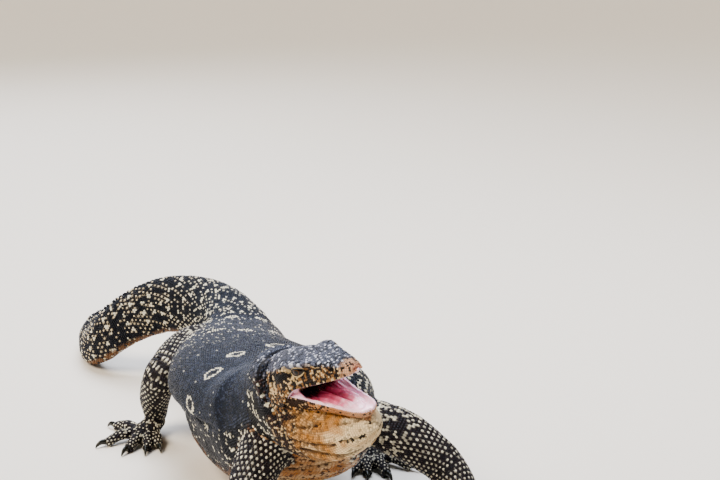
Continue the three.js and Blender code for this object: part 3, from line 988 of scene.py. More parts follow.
def throat_folds() -> list[Fold]:
    """Creases of the blown-up throat on both sides: chin, two long side lines, blotches and lower edge."""
    folds = []
    for t, angle, depth, width in (
        ((4.3, 5.1, 5.7), (136, 131, 118), 1.8, 2.0),
        ((2.48, 3.03, 3.7), (155, 152, 138), 1.5, 2.2),
        ((2.3, 3.33, 4.4), (183, 184, 189), 1.6, 2.2),
        ((4.55, 5.2, 5.75), (188, 198, 232), 1.7, 2.0),
        ((2.7, 3.9, 4.75), (194, 209, 262), 2.6, 3.0),
        ((1.3, 1.92, 2.38), (134, 159, 186), 4.2, 4.6),
        ((2.2, 3.0, 3.9), (168, 168, 165), 1.0, 1.8),
        ((3.2, 4.1, 4.9), (172, 174, 178), 0.9, 1.6),
    ):
        for mirrored in (False, True):
            turned = tuple(180 - a if mirrored else a for a in angle)
            folds.append(Fold(POUCH, t, turned, depth, width))
    return folds


def body_folds() -> list[Fold]:
    """Creases of neck, chest, flanks and limbs, the same on both sides apart from a small shift."""
    folds = [
        Fold(BODY, (3.3, 3.45, 3.3), (222, 270, 318), 2.4, 4.0),
        Fold(BODY, (2.7, 2.8, 2.7), (215, 270, 325), 2.0, 3.4),
    ]
    for mirrored in (False, True):
        for t, angle, depth, width in (
            ((4.3, 6.3, 8.8), (-4, -3, -10), 4.2, 5.0),
            ((4.9, 6.2, 7.7), (-27, -30, -24), 1.8, 4.0),
            ((0.55, 0.4, 0.35), (-72, -40, -8), 2.4, 3.2),
            ((9.6, 9.9, 9.7), (-40, 0, 36), 1.4, 3.4),
        ):
            turned = tuple(180 - a if mirrored else a for a in angle)
            folds.append(Fold(BODY, tuple(v + 0.06 * mirrored for v in t), turned, depth, width))
    for name in LEGS:
        leg = leg_sections(name)
        for at, first, last in (
            (1.75, 30, 200), (2.1, 190, 350), (2.35, 60, 230), (3.5, 20, 180), (3.75, 160, 340),
        ):
            folds.append(Fold(leg, (at, at + 0.06, at), (first, (first + last) / 2, last), 1.0, 2.0))
    return folds


THROAT_FOLDS = throat_folds()
BODY_FOLDS = body_folds()
FOLDS = THROAT_FOLDS + BODY_FOLDS


def near_head(points: Array) -> Array:
    """1 on the head and lower jaw, falling to 0 behind them."""
    local = HEAD.local(points)
    low = HEAD.jaw_local(points)
    upper = eased(-16, 4, local[:, 0]) * (np.abs(local[:, 1]) < 48) * (local[:, 2] > -44)
    lower = eased(-6, 10, low[:, 0]) * (np.abs(low[:, 1]) < 48) * (low[:, 2] > -52) * (low[:, 2] < 10)
    return np.maximum(upper, lower)


def oval(x: Array, z: Array, at: Sequence[float], long: float, high: float) -> Array:
    """Below 1 inside an oval about a place of the head, seen from the side."""
    return np.hypot((x - at[0]) / long, (z - at[2]) / high)


def head_relief(points: Array) -> Array:
    """Outward moves on the head: jaw muscles, temple hollow, ear cups with raised rims, nostrils and lips."""
    x, y, z = HEAD.local(points).T
    side = np.abs(y)
    on_head = (x > -20) & (x < 150) & (z > -40)
    ear = oval(x, z, EAR_AT, 4.6, 8.6)
    lift = 1.1 * bell(ear - 1.45, 0.35) - 3.0 * bell(ear, 0.85)
    lift = np.where(side > 24, lift, 0)
    nose = oval(x, z, NOSTRIL_AT, 4.2, 2.6)
    lift += np.where(side > 8, 0.9 * bell(nose - 1.5, 0.5) - 2.6 * bell(nose, 0.75), 0)
    lift += 1.5 * bell(np.hypot(x - 32, (z - 12) * 1.2), 13) * (side > 16)
    lift -= 1.4 * bell(np.hypot((x - 84) / 1.8, z - 11), 7) * (side > 12)
    return np.where(on_head, lift, 0)


def around_eye(offset: Array, side: int) -> tuple[Array, Array]:
    """Angles of places about an eye's centre from the middle of its opening, in degrees.

    Args:
        offset: Places (n, 3) from the eye's centre, in the head's frame.
        side: Plus 1 for the left eye, minus 1 for the right one.

    Returns:
        The angle towards the snout and the angle upwards.
    """
    gaze, ahead, high = eye_axes(side)
    way = unit(offset)
    return np.degrees(np.arctan2(way @ ahead, way @ gaze)), np.degrees(np.arcsin(np.clip(way @ high, -1, 1)))


def eye_axes(side: int) -> tuple[Array, Array, Array]:
    """The directions of the middle of an eye's opening, of its front corner and of its upper lid."""
    gaze = unit(np.array([EYE_FORWARD, side, 0.02]))
    ahead = unit(np.array([1, -EYE_FORWARD * side, -EYE_SLANT]))
    high = np.cross(gaze, ahead) * -side
    return gaze, unit(np.cross(high, gaze)) * -side, unit(high)


def socket(offset: Array, side: int, wider: float = 0.0) -> Array:
    """Below 1 inside an eye's almond opening, made wider by some degrees, and above 1 outside it."""
    along, upward = around_eye(offset, side)
    return np.hypot(along / (EYE_OPENING[0] + wider), upward / (EYE_OPENING[1] + wider))


def sink_sockets(points: Array) -> Array:
    """Draws the skin of each eye's opening in behind the eyeball."""
    local = HEAD.local(points)
    for side in (1, -1):
        offset = local - eye_centre(side)
        inside = 1 - eased(0.9, 1.1, socket(offset, side, 12))
        depth = np.linalg.norm(offset, axis=1)
        target = offset * ((EYE_RADIUS - 1.6) / np.maximum(depth, 1e-6))[:, None]
        shrink = (inside * (depth < 15) * (depth > EYE_RADIUS - 1.6))[:, None]
        local = local + (target - offset) * shrink
    return HEAD.place(local)


@dataclass
class Roots:
    """Where the scales of one stretch of body stand.

    Attributes:
        place: Roots on the skin (n, 3).
        outward: The skin's outward directions there.
        lie: The direction in which each scale lies, level with the skin.
        long: Length of each scale's cell.
        wide: Width of each scale's cell.
        t: Place along the rows of the stretch.
        angle: Angle round the section.
        along: Millimetres along the stretch.
        aside: Millimetres round the body from the middle line, plus towards growing angles.
        girth: Half the way round the body there.
        row: Number of the cross row.
        column: Number of the scale in its row, from the middle line.
    """

    place: Array
    outward: Array
    lie: Array
    long: Array
    wide: Array
    t: Array
    angle: Array
    along: Array
    aside: Array
    girth: Array
    row: Array
    column: Array

    def pick(self, chosen: Array) -> "Roots":
        """Only the chosen roots."""
        return Roots(**{name: value[chosen] for name, value in vars(self).items()})

    def field(self, size: float, seed: int) -> Array:
        """A patchy field at the roots, of even spread from 0 to 1."""
        return evened(self.place, size, seed)

    @staticmethod
    def merged(parts: Sequence["Roots"]) -> "Roots":
        """All the roots of several sets, one after the other."""
        return Roots(**{name: np.concatenate([vars(p)[name] for p in parts]) for name in vars(parts[0])})


@dataclass(frozen=True)
class Sleeve:
    """The lattice of scales round one stretch of body: cross rows, each set off by half a scale.

    Attributes:
        name: The coat's name.
        shape: The stretch of body, with a method surface(t, angle).
        start: Place of the first row.
        end: Place of the last row.
        middle: Angle of the middle line, in degrees.
        half: Angle from the middle line to the last column, in degrees.
        pitch: Distance between rows and between columns at the middle line.
        lower_growth: How much wider the columns are on the far side from the middle line.
        reach: Farthest that the finished skin may lie from the sections.
        lip: Width of the row of scales along a lip, where the stretch ends at one.
    """

    name: str
    shape: Sections | JawShell
    start: float
    end: float
    middle: float = 90.0
    half: float = 180.0
    pitch: float = 3.4
    lower_growth: float = 1.25
    reach: float = 5.0
    lip: float = 0.0

    def rows(self) -> tuple[Array, Array]:
        """Places along the stretch whose rows lie one pitch apart, and their distance along it."""
        t = np.linspace(self.start, self.end, 900)
        angles = np.radians(self.middle + np.array([-0.6, -0.3, 0.3, 0.6]) * self.half)
        steps = np.diff(self.shape.surface(t[:, None], angles[None]), axis=0)
        steps = np.linalg.norm(steps, axis=-1).mean(axis=1)
        along = np.concatenate([[0], np.cumsum(steps)])
        at = np.arange(self.pitch / 2, along[-1], self.pitch)
        return np.interp(at, along, t), at

    def lattice(self) -> tuple[Array, ...]:
        """Place, angle, distance along, distance aside, half girth, row, column and width of each scale."""
        t, along = self.rows()
        parts = []
        for way in (1, -1):
            angle = np.radians(self.middle + way * np.linspace(0, self.half, 240))
            points = self.shape.surface(t[:, None], angle[None])
            steps = np.linalg.norm(np.diff(points, axis=1), axis=-1)
            aside = np.concatenate([np.zeros((len(t), 1)), np.cumsum(steps, axis=1)], axis=1)
            share = aside / aside[:, -1:]
            width = self.pitch * (1 + (self.lower_growth - 1) * eased(0.5, 0.85, share))
            count = np.concatenate([np.zeros((len(t), 1)), np.cumsum(steps / width[:, 1:], axis=1)], axis=1)
            for i in range(len(t)):
                first = 0.5 if i % 2 else (0.0 if way > 0 else 1.0)
                wanted = np.arange(first, count[i, -1] - 0.3, 1.0)
                distance = np.interp(wanted, count[i], aside[i])
                wide = np.interp(wanted, count[i], width[i])
                if self.lip:
                    keep = distance < aside[i, -1] - self.lip - 0.35 * self.pitch
                    wanted = np.append(wanted[keep], wanted[keep][-1:] + 1)
                    distance = np.append(distance[keep], aside[i, -1] - self.lip / 2)
                    wide = np.append(wide[keep], self.lip)
                one = np.ones(len(wanted))
                parts.append(np.stack([
                    t[i] * one, np.interp(distance, aside[i], angle), along[i] * one, way * distance,
                    aside[i, -1] * one, i * one, way * wanted, wide,
                ]))
        return tuple(np.concatenate(parts, axis=1))

    def roots(self, skin: Object) -> Roots:
        """Lays the lattice on the skin and drops what lies inside other stretches of the body."""
        t, angle, along, aside, girth, row, column, width = self.lattice()
        start = self.shape.surface(t, angle)
        step = (self.end - self.start) * 1e-3
        ahead = self.shape.surface(np.minimum(t + step, self.shape.last), angle)
        behind = self.shape.surface(np.maximum(t - step, 0), angle)
        place, outward = settle(start, skin)
        lie = ahead - behind
        lie = unit(lie - outward * (lie * outward).sum(axis=1, keepdims=True))
        stretch = np.linalg.norm(ahead - behind, axis=1)
        typical = np.median(stretch)
        long = self.pitch * np.clip(stretch / typical, 0.55, 1.25)
        made = Roots(place, outward, lie, long, width, t, angle, along, aside, girth, row, column)
        return made.pick(np.linalg.norm(place - start, axis=1) < self.reach)


@dataclass(frozen=True)
class ScaleForm:
    """The shape of one scale: a low six-sided dome whose rear edge stands a little higher.

    Attributes:
        height: Height of the dome as a share of its width.
        tilt: Extra height of the rear edge as a share of the width.
        fill: Share of its cell that the scale covers.
    """

    height: float = 0.27
    tilt: float = 0.07
    fill: float = 0.94

    def template(self) -> tuple[Array, Array, Array]:
        """Corners as shares of length and width, heights as shares of the width, and triangles."""
        rim = [(0.62, 0), (0.35, 0.47), (-0.35, 0.47), (-0.62, 0), (-0.35, -0.47), (0.35, -0.47)]
        rim = np.array(rim) * self.fill
        shoulder = rim * 0.74
        flat = np.concatenate([rim, shoulder, [(0.04, 0)]])
        height = np.array([-0.35] * 6 + [0.72] * 6 + [1.0]) * self.height + flat[:, 0] * self.tilt
        j = np.arange(6)
        k = (j + 1) % 6
        lower = np.concatenate([np.stack([j, k, k + 6], 1), np.stack([j, k + 6, j + 6], 1)])
        top = np.stack([j + 6, k + 6, np.full(6, 12)], 1)
        under = np.array([(0, 2, 1), (0, 3, 2), (0, 5, 3), (3, 5, 4)])
        return flat, height, np.concatenate([lower, top, under])


class Coat:
    """A joined mesh of scales on one stretch of skin."""

    def __init__(self, name: str, roots: Roots, tints: Array, rises: Array, box: tuple[float, ...]) -> None:
        """Sets each scale on its root, tints it and gives it its own patch of the map OFBake.

        Args:
            name: The piece's name.
            roots: The roots.
            tints: Linear colours (n, 3).
            rises: How much higher than usual each scale stands.
            box: Lowest and highest distance along and aside that the map has to hold.
        """
        flat, height, triangles = ScaleForm().template()
        rng = np.random.default_rng(SEED + len(name))
        count, corners = len(roots.place), len(flat)
        across = np.cross(roots.outward, roots.lie)
        sizes = rng.uniform(0.95, 1.03, (2, count))
        x = (flat[:, 0][None] * (roots.long * sizes[0])[:, None])[..., None]
        y = (flat[:, 1][None] * (roots.wide * sizes[1])[:, None])[..., None]
        z = (height[None] * (roots.wide * rises * rng.uniform(0.85, 1.15, count))[:, None])[..., None]
        points = roots.place[:, None] + x * roots.lie[:, None]
        points = points + y * across[:, None] + z * roots.outward[:, None]
        points[..., 2] = np.maximum(points[..., 2], 0.05 + 0.35 * (height > 0))
        faces = (np.arange(count) * corners)[:, None, None] + triangles[None]
        self.made = make_object(name, points.reshape(-1, 3), [faces.reshape(-1, 3)])
        # Painted shade and highlight: each scale's sunken rim is painted darker, as the shade between scales, and
        # the top corner of a dark scale lighter, as a painted glint of sheen.
        dark = eased(0.2, 0.06, tints.max(axis=1))[:, None]
        upper = np.where(np.arange(corners) == corners - 1, 1.0 + 0.8 * dark, 1.0)
        shade = np.where(height < 0, 0.72 - 0.32 * dark, upper)
        paint(self.made.data, (tints[:, None] * shade[..., None]).reshape(-1, 3))
        self.unwrap(roots, flat, triangles, box)

    def unwrap(self, roots: Roots, flat: Array, triangles: Array, box: tuple[float, ...]) -> None:
        """Lays each scale as a patch 0.003 across where its root lies on the unrolled skin."""
        low_u, high_u, low_v, high_v = box
        u = 0.01 + 0.98 * (roots.along - low_u) / (high_u - low_u)
        v = 0.01 + 0.98 * (roots.aside - low_v) / (high_v - low_v)
        root = np.stack([u, v], axis=1)[:, None]
        patch = (root + flat[triangles.ravel()][None] * 0.003).reshape(-1, 2)
        layer = self.made.data.uv_layers.new(name="OFBake")
        layer.data.foreach_set("uv", patch.astype(np.float32).ravel())


class Shade(Enum):
    """The colours of the living animal, as seen on a screen; some dark ones also serve as painted shade in
    creases, pits and the gullet.
    """

    BACK = 0x151924
    BLACK = 0x0C0B10
    CREAM = 0xEAE3CC
    STRAW = 0xCDAE7A
    CROWN = 0x535766
    CROWN_PALE = 0xC6C8D4
    CHEEK = 0x8A653F
    CHEEK_PALE = 0xD9BE94
    LIP = 0xB98256
    THROAT = 0xBA8446
    THROAT_PALE = 0xF0DAB2
    NECK = 0x3A2820
    TAN = 0xA8713D
    UNDERTAIL = 0x7C5838
    SNOUT = 0xCFA486
    ROSTRAL = 0xB4705C
    # dark brown: painted shade in the throat's creases, and the real brown speckles
    FOLD = 0x38200F
    LINING = 0xE884A2
    LINING_PALE = 0xFCD6E4
    LINING_RED = 0xA83E58
    # dark red of the gullet, deepened as painted shade
    GULLET = 0x1A060B
    # the dark of the lids' edges, and painted shade in the pits of ears, nostrils and eyes
    LID_DARK = 0x120C09
    LID_PALE = 0xD8BC8C

    @property
    def rgb(self) -> Array:
        """The colour as linear red, green and blue."""
        return linear(self.value)

    def many(self, count: int) -> Array:
        """The colour for each of a number of scales."""
        return np.tile(self.rgb, (count, 1))


def layered(colour: Array, *layers: tuple) -> Array:
    """Paints over a colour in turn: each layer is a shade, or a colour for each row, and its share."""
    for shade, share in layers:
        colour = blend(colour, shade.rgb if isinstance(shade, Shade) else shade, share)
    return colour


# Pale rings of the back: place along the body's rows, distance from the middle line, plus to the left, half
# length and half width of the ring.
RINGS = (
    (6.12, -33, 9.4, 10.6), (5.68, -80, 9.6, 11.2), (5.9, -130, 10.2, 9.2), (6.25, 26, 8.6, 9.6),
    (5.9, 78, 8.8, 10.2), (6.1, 124, 8.0, 7.4), (7.89, 13, 4.6, 8.6), (8.04, -27, 4.4, 8.6),
    (8.2, -66, 5.4, 7.4), (8.1, 56, 5.2, 8.0), (8.2, 92, 5.4, 7.4), (9.06, 34, 4.6, 6.4),
    (9.05, -8, 4.8, 7.0), (9.15, -46, 5.0, 6.6), (9.1, 68, 5.0, 6.4), (9.85, 20, 4.6, 6.0),
    (9.9, -20, 4.8, 6.0), (5.3, -158, 9.0, 8.0), (4.3, 64, 6.6, 7.4), (4.4, 104, 6.6, 7.0),
)


# The lower edge of the plain back: places along the body's rows, and degrees from the middle line.
FLANK_LINE = ((0.5, 1.4, 2.4, 4.0, 5.6, 7.2, 8.8), (105, 128, 117, 97, 92, 95, 102))


def near_rings(roots: Roots) -> tuple[Array, Array]:
    """How far each scale lies off the line of the nearest ring, and whether it lies inside one."""
    order = np.argsort(roots.t)
    off = np.full(len(roots.t), 99.0)
    within = np.zeros(len(roots.t), bool)
    for number, (t, aside, long, wide) in enumerate(RINGS):
        at = np.interp(t, roots.t[order], roots.along[order])
        u, v = roots.along - at, roots.aside - aside
        lean = 0.25 * math.sin(number * 2.4)
        away = np.hypot((u + lean * v) / long, v / wide)
        off = np.minimum(off, np.abs(away - 1) * (long + wide) / 2)
        within |= away < 0.6
    return off, within


def trunk_tints(roots: Roots) -> Array:
    """Blue-black back with pale rings in cross rows, blotched flanks under the side fold, warm belly.

    Args:
        roots: The roots of the scales of neck and trunk.

    Returns:
        Linear colours (n, 3).
    """
    rng = np.random.default_rng(SEED + 1)
    count = len(roots.place)
    share = np.abs(roots.aside) / roots.girth
    chance = rng.random(count)
    colour = Shade.BACK.many(count) * rng.uniform(0.5, 1.7, (count, 1))
    # Painted light: the right side of the neck, behind the head, is lightened to lift the shade that falls on it.
    colour = colour * (1 + 0.9 * eased(4, 2.6, roots.t) * (roots.aside < 0) * 0.4)[:, None]
    off, within = near_rings(roots)
    pale = np.maximum((off < 2.2) * (chance < 0.95), (chance > 0.994) * 0.5)
    specks = (roots.field(7, 9) < 0.1) * eased(6.4, 8.4, roots.t) * (chance < 0.6)
    colour = layered(
        colour, (Shade.CROWN, (chance > 0.8) * 0.3), (Shade.BLACK, within * 0.7),
        (Shade.CREAM, np.maximum(pale * rng.uniform(0.82, 1, count), specks * 0.7)),
    )
    down = np.abs(np.degrees(roots.angle) - 90) - np.interp(roots.t, *FLANK_LINE)
    crowd, rank = roots.field(34, 6), roots.field(15, 4)
    most = (0.18 + 0.12 * eased(0.25, 0.7, crowd)) * (1 - 0.5 * eased(3.4, 4.6, roots.t) * (roots.aside < 0))
    blotch = (rank > 0.08) & (rank < most) & (chance < 0.95)
    dark = layered(
        Shade.BLACK.many(count) * rng.uniform(0.6, 1.7, (count, 1)),
        (Shade.TAN, eased(0.66, 0.78, share) * (roots.field(26, 16) < 0.5) * 0.8),
        (Shade.CREAM, blotch * rng.uniform(0.75, 1, count)),
    )
    bare = eased(4.6, 3.8, roots.t) * (roots.aside < 0) * (down < 14)
    shoulder = (roots.aside > 0) * eased(0.24, 0.34, share) * eased(5.2, 4.6, roots.t)
    shoulder = shoulder * (rank > 0.06) * (rank < 0.34)
    nape = eased(1.5, 0.5, roots.t + 0.8 * (roots.field(12, 36) - 0.5)) * eased(0.42, 0.3, share)
    grey = layered(
        Shade.CROWN.many(count) * rng.uniform(0.35, 1.2, (count, 1)),
        (Shade.CROWN_PALE, chance > 0.88), (Shade.BACK, (rank < 0.3) * 0.8),
    )
    speckled = layered(
        Shade.NECK.many(count), (Shade.BLACK, (roots.field(8, 19) < 0.45) * 0.9),
        (Shade.CREAM, (roots.field(6, 29) < 0.16) * 0.85),
    )
    warm = layered(
        Shade.TAN.many(count), (Shade.THROAT_PALE, roots.field(30, 7) * 0.5),
        (Shade.FOLD, (roots.field(9, 8) < 0.2) * 0.85),
    )
    border = share - np.interp(roots.t, (1, 3, 5, 7), (0.82, 0.74, 0.75, 0.79))
    colour = layered(
        colour, (dark, eased(0, 3, down)), (Shade.BLACK, bare * (chance < 0.4) * 0.6),
        (Shade.CREAM, shoulder * (chance < 0.95) * 0.95), (grey, nape * 0.8),
        (speckled, eased(0.75, 0.45, roots.t) * eased(0.3, 0.42, share)),
        (warm, eased(-0.03, 0.04, border + 0.12 * (roots.field(24, 5) - 0.5))),
    )
    # Painted shade in the creases of neck, flanks and hips.
    crease = np.max([fold.shadow(roots.place) for fold in BODY_FOLDS if fold.shape is BODY], axis=0)
    return colour * (1 - 0.75 * crease[:, None])


def tail_tints(roots: Roots) -> Array:
    """Black with single cream scales in oblique rows, larger spots between them, and a warm underside."""
    rng = np.random.default_rng(SEED + 2)
    count = len(roots.place)
    share = np.abs(roots.aside) / roots.girth
    row, column = roots.row.astype(int), np.floor(roots.column).astype(int)
    chance = rng.random(count)
    small = (row % 2 == 0) & ((column + row // 2) % 2 == 0) & (chance < 0.56)
    pitch_u, pitch_v = 18.0, 14.0
    band = np.round(roots.along / pitch_u)
    v = roots.aside / pitch_v - 0.5 * (band % 2)
    wander = np.sin(band * 3.7 + np.round(v) * 5.3)
    u, v = roots.along - (band + 0.16 * wander) * pitch_u, (v - np.round(v) + 0.12 * wander) * pitch_v
    large = (np.hypot(u, v) < 2.9 + 0.7 * wander) & (wander > -0.5)
    colour = blend(Shade.BACK.many(count), Shade.BLACK.rgb, eased(10, 12.5, roots.t))
    colour = colour * rng.uniform(0.6, 1.6, (count, 1))
    dots = blend(Shade.CREAM.many(count), Shade.STRAW.rgb, eased(10.5, 14, roots.t) * 0.5)
    return layered(
        colour, (dots, small * rng.uniform(0.55, 1, count)),
        (Shade.CREAM, large * rng.uniform(0.85, 1, count)),
        (Shade.UNDERTAIL, eased(0.78, 0.88, share) * (chance > 0.2)),
    )


def body_tints(roots: Roots) -> Array:
    """Trunk in front and tail behind, with an uneven border at the hips."""
    behind = roots.t + 0.9 * (roots.field(40, 41) - 0.5) > 9.55
    return blend(trunk_tints(roots), tail_tints(roots), behind)


def leg_tints(roots: Roots) -> Array:
    """Black with single cream scales in a regular quincunx, and rosettes near the trunk."""
    rng = np.random.default_rng(SEED + 3)
    count = len(roots.place)
    row, column = roots.row.astype(int), np.floor(roots.column).astype(int)
    pale = (row % 2 == 0) & ((column + row // 2) % 2 == 0) & (rng.random(count) < 0.92)
    dark = blend(Shade.BLACK.many(count), Shade.NECK.rgb, 0.3) * rng.uniform(0.4, 1.3, (count, 1))
    rank = roots.field(13, 12)
    rosette = (rank > 0.08) & (rank < 0.34)
    pale = np.where(roots.t + 0.4 * rank < 1.25, rosette, pale)
    return blend(dark, Shade.CREAM.rgb, pale * rng.uniform(0.45, 0.95, count))


def head_tints(roots: Roots) -> Array:
    """Grey-blue crown, speckled cheeks, pale brow and ear patch, a dark temple stripe, pinkish snout tip."""
    rng = np.random.default_rng(SEED + 4)
    x, y, z = HEAD.local(roots.place).T
    side, count = np.abs(y), len(roots.place)
    chance = rng.random(count)
    speckle = 0.42 * roots.field(4, 14) + 0.58 * chance
    ridge = np.interp(x, (0, 26, 50, 62, 78, 96, 112, 125), (17, 19, 22.5, 23.5, 21, 17, 13.5, 12))
    crown = eased(-1.4, 1.4, z - ridge + 0.22 * (26 - side)) * eased(124, 114, x + 2.5 * np.sin(side))
    flecked = layered(
        Shade.CROWN.many(count) * rng.uniform(0.45, 1.4, (count, 1)), (Shade.CROWN_PALE, chance > 0.86),
        (Shade.BACK, (0.5 * roots.field(9, 24) + 0.5 * chance < 0.33) * 0.85),
    )
    stripe = bell((z - 14.5 + 0.1 * (50 - x)) / 4.6, 1) * eased(53, 46, x) * eased(4, 12, x) * (side > 18)
    off = np.hypot((x - EYE_AT[0] + 1) / 16, (z - EYE_AT[2] - 1) / 9.5)
    above = (off < 1.05) * eased(1.5, 3.0, z - EYE_AT[2]) * (side > 14)
    below = (off < 1.0) * eased(-1.5, -3.5, z - EYE_AT[2]) * (side > 14)
    ear = np.hypot((x - EAR_AT[0] - 3) / 8, (z - EAR_AT[2] + 2) / 12)
    tip = eased(113, 123, x + 0.2 * (side - 8)) * (speckle > 0.36)
    return layered(
        Shade.CHEEK.many(count), (Shade.BLACK, (speckle < 0.5) * 0.95),
        (Shade.CHEEK_PALE, (speckle > 0.66) * 0.9), (Shade.BLACK, eased(0.35, 0.6, stripe) * (chance > 0.08)),
        (Shade.LID_PALE, above * (chance > 0.15) * 0.9), (Shade.LID_PALE, below * (chance > 0.3) * 0.85),
        (Shade.CHEEK_PALE, (ear < 1.05) * (ear > 0.5) * (side > 24) * (chance > 0.3) * 0.9), (flecked, crown),
        (Shade.SNOUT.rgb * rng.uniform(0.75, 1.1, (count, 1)), tip * 0.9),
        (Shade.ROSTRAL, eased(127, 131, x) * 0.6),
    )


def jaw_tints(roots: Roots) -> Array:
    """Brownish lips speckled with black behind, turning to a pinkish orange chin."""
    rng = np.random.default_rng(SEED + 5)
    x, y, z = HEAD.jaw_local(roots.place).T
    count = len(roots.place)
    chance = rng.random(count)
    speckle = 0.45 * roots.field(6, 16) + 0.55 * chance
    dark = 0.22 + 0.36 * eased(104, 56, x) * eased(-24, -12, z) + 0.3 * eased(66, 38, x)
    return layered(
        Shade.LIP.many(count), (Shade.THROAT, eased(-10, -20, z)), (Shade.SNOUT, eased(96, 122, x) * 0.6),
        (Shade.BLACK, (speckle < dark) * 0.92), (Shade.CHEEK_PALE, (speckle > 0.74) * eased(90, 60, x) * 0.7),
    )


def throat_tints(roots: Roots) -> Array:
    """Orange to pale yellow throat with painted shade and dark lines in its creases, dark brown and speckled
    behind the jaw.
    """
    rng = np.random.default_rng(SEED + 6)
    x, y, z = HEAD.jaw_local(roots.place).T
    count = len(roots.place)
    chance = rng.random(count)
    colour = Shade.THROAT.many(count) * rng.uniform(0.85, 1.15, (count, 1))
    drift = 44 * (roots.field(34, 18) - 0.5) + 20 * (roots.field(11, 38) - 0.5)
    pale = eased(70, 122, x + drift) * 0.85 + 0.3 * roots.field(16, 19)
    brown = 0.2 + 0.24 * eased(96, 60, x) + 0.2 * eased(-52, -72, z)
    # Painted shade in the throat's creases, in dark brown; two creases also get broken black lines.
    crease = np.max([fold.shadow(roots.place) for fold in THROAT_FOLDS[:10]], axis=0)
    colour = layered(
        colour, (Shade.THROAT_PALE, pale),
        (Shade.FOLD, (0.3 * roots.field(5, 27) + 0.7 * chance < brown) * 0.5),
        (Shade.FOLD, np.minimum(2.2 * crease, 1) * (chance < 0.94)),
    )
    for fold in THROAT_FOLDS[6:8]:
        broken = (fold.shadow(roots.place) > 0.12) * (roots.field(6, 21) < 0.64)
        colour = layered(colour, (Shade.BLACK, broken * 0.95))
    speckle = 0.4 * roots.field(5, 22) + 0.6 * chance
    neck, nape, grey = (
        shade.many(count) * rng.uniform(low, high, (count, 1))
        for shade, low, high in ((Shade.NECK, 0.5, 1.4), (Shade.BLACK, 0.6, 1.6), (Shade.CROWN, 0.3, 1.3))
    )
    rank = roots.field(14, 25)
    nape = layered(
        nape, (Shade.CREAM, (rank > 0.07) * (rank < 0.25)),
        (grey, eased(-34, -14, z + 10 * (rank - 0.5)) * 0.85),
    )
    border = x + 0.28 * (z + 45) + 16 * (roots.field(14, 23) - 0.5)
    behind = layered(
        neck, (Shade.BLACK, (speckle < 0.35) * 0.8), (Shade.CHEEK_PALE, (speckle > 0.68) * 0.8),
        (nape, eased(20, 8, border)),
    )
    return blend(colour, behind, eased(56, 40, border))


@dataclass(frozen=True)
class Finish:
    """A surface that shows the piece's own tints, broken up finely.

    Attributes:
        name: The material's name.
        roughness: Middle roughness.
        variation: How far the roughness varies.
        grain: Size of the grain in millimetres.
        bump: Depth of the grain in millimetres.
        darkening: How much the grain darkens the colour.
        specular: Strength of the reflection.
        coat: Strength of a clear wet film.
        flesh: Strength of light that passes through the surface.
        sheen: Colour of its reflections.
    """

    name: str
    roughness: float
    variation: float = 0.1
    grain: float = 0.8
    bump: float = 0.12
    darkening: float = 0.25
    specular: float = 0.5
    coat: float = 0.0
    flesh: float = 0.0
    sheen: tuple[float, float, float] = (1.0, 1.0, 1.0)

    def material(self) -> bpy.types.Material:
        """Builds the material's nodes, with the shared grain group."""
        made = bpy.data.materials.new(self.name)
        made.use_nodes = True
        nodes, links = made.node_tree.nodes, made.node_tree.links
        shader = nodes["Principled BSDF"]
        tint = nodes.new("ShaderNodeAttribute")
        tint.attribute_name = TINT
        grain = nodes.new("ShaderNodeGroup")
        grain.node_tree = grain_group()
        set_inputs(grain, Size=self.grain * MM, Darkening=self.darkening)
        set_inputs(grain, Roughness=self.roughness, Variation=self.variation)
        bump = nodes.new("ShaderNodeBump")
        set_inputs(bump, Distance=self.bump * MM)
        links.new(tint.outputs["Color"], grain.inputs["Color"])
        links.new(grain.outputs["Color"], shader.inputs["Base Color"])
        links.new(grain.outputs["Roughness"], shader.inputs["Roughness"])
        links.new(grain.outputs["Height"], bump.inputs["Height"])
        links.new(bump.outputs["Normal"], shader.inputs["Normal"])
        set_inputs(shader, Specular_IOR_Level=self.specular, Specular_Tint=(*self.sheen, 1))
        set_inputs(shader, Coat_Weight=self.coat, Coat_Roughness=0.12)
        set_inputs(shader, Subsurface_Weight=self.flesh, Subsurface_Scale=2 * MM)
        return made


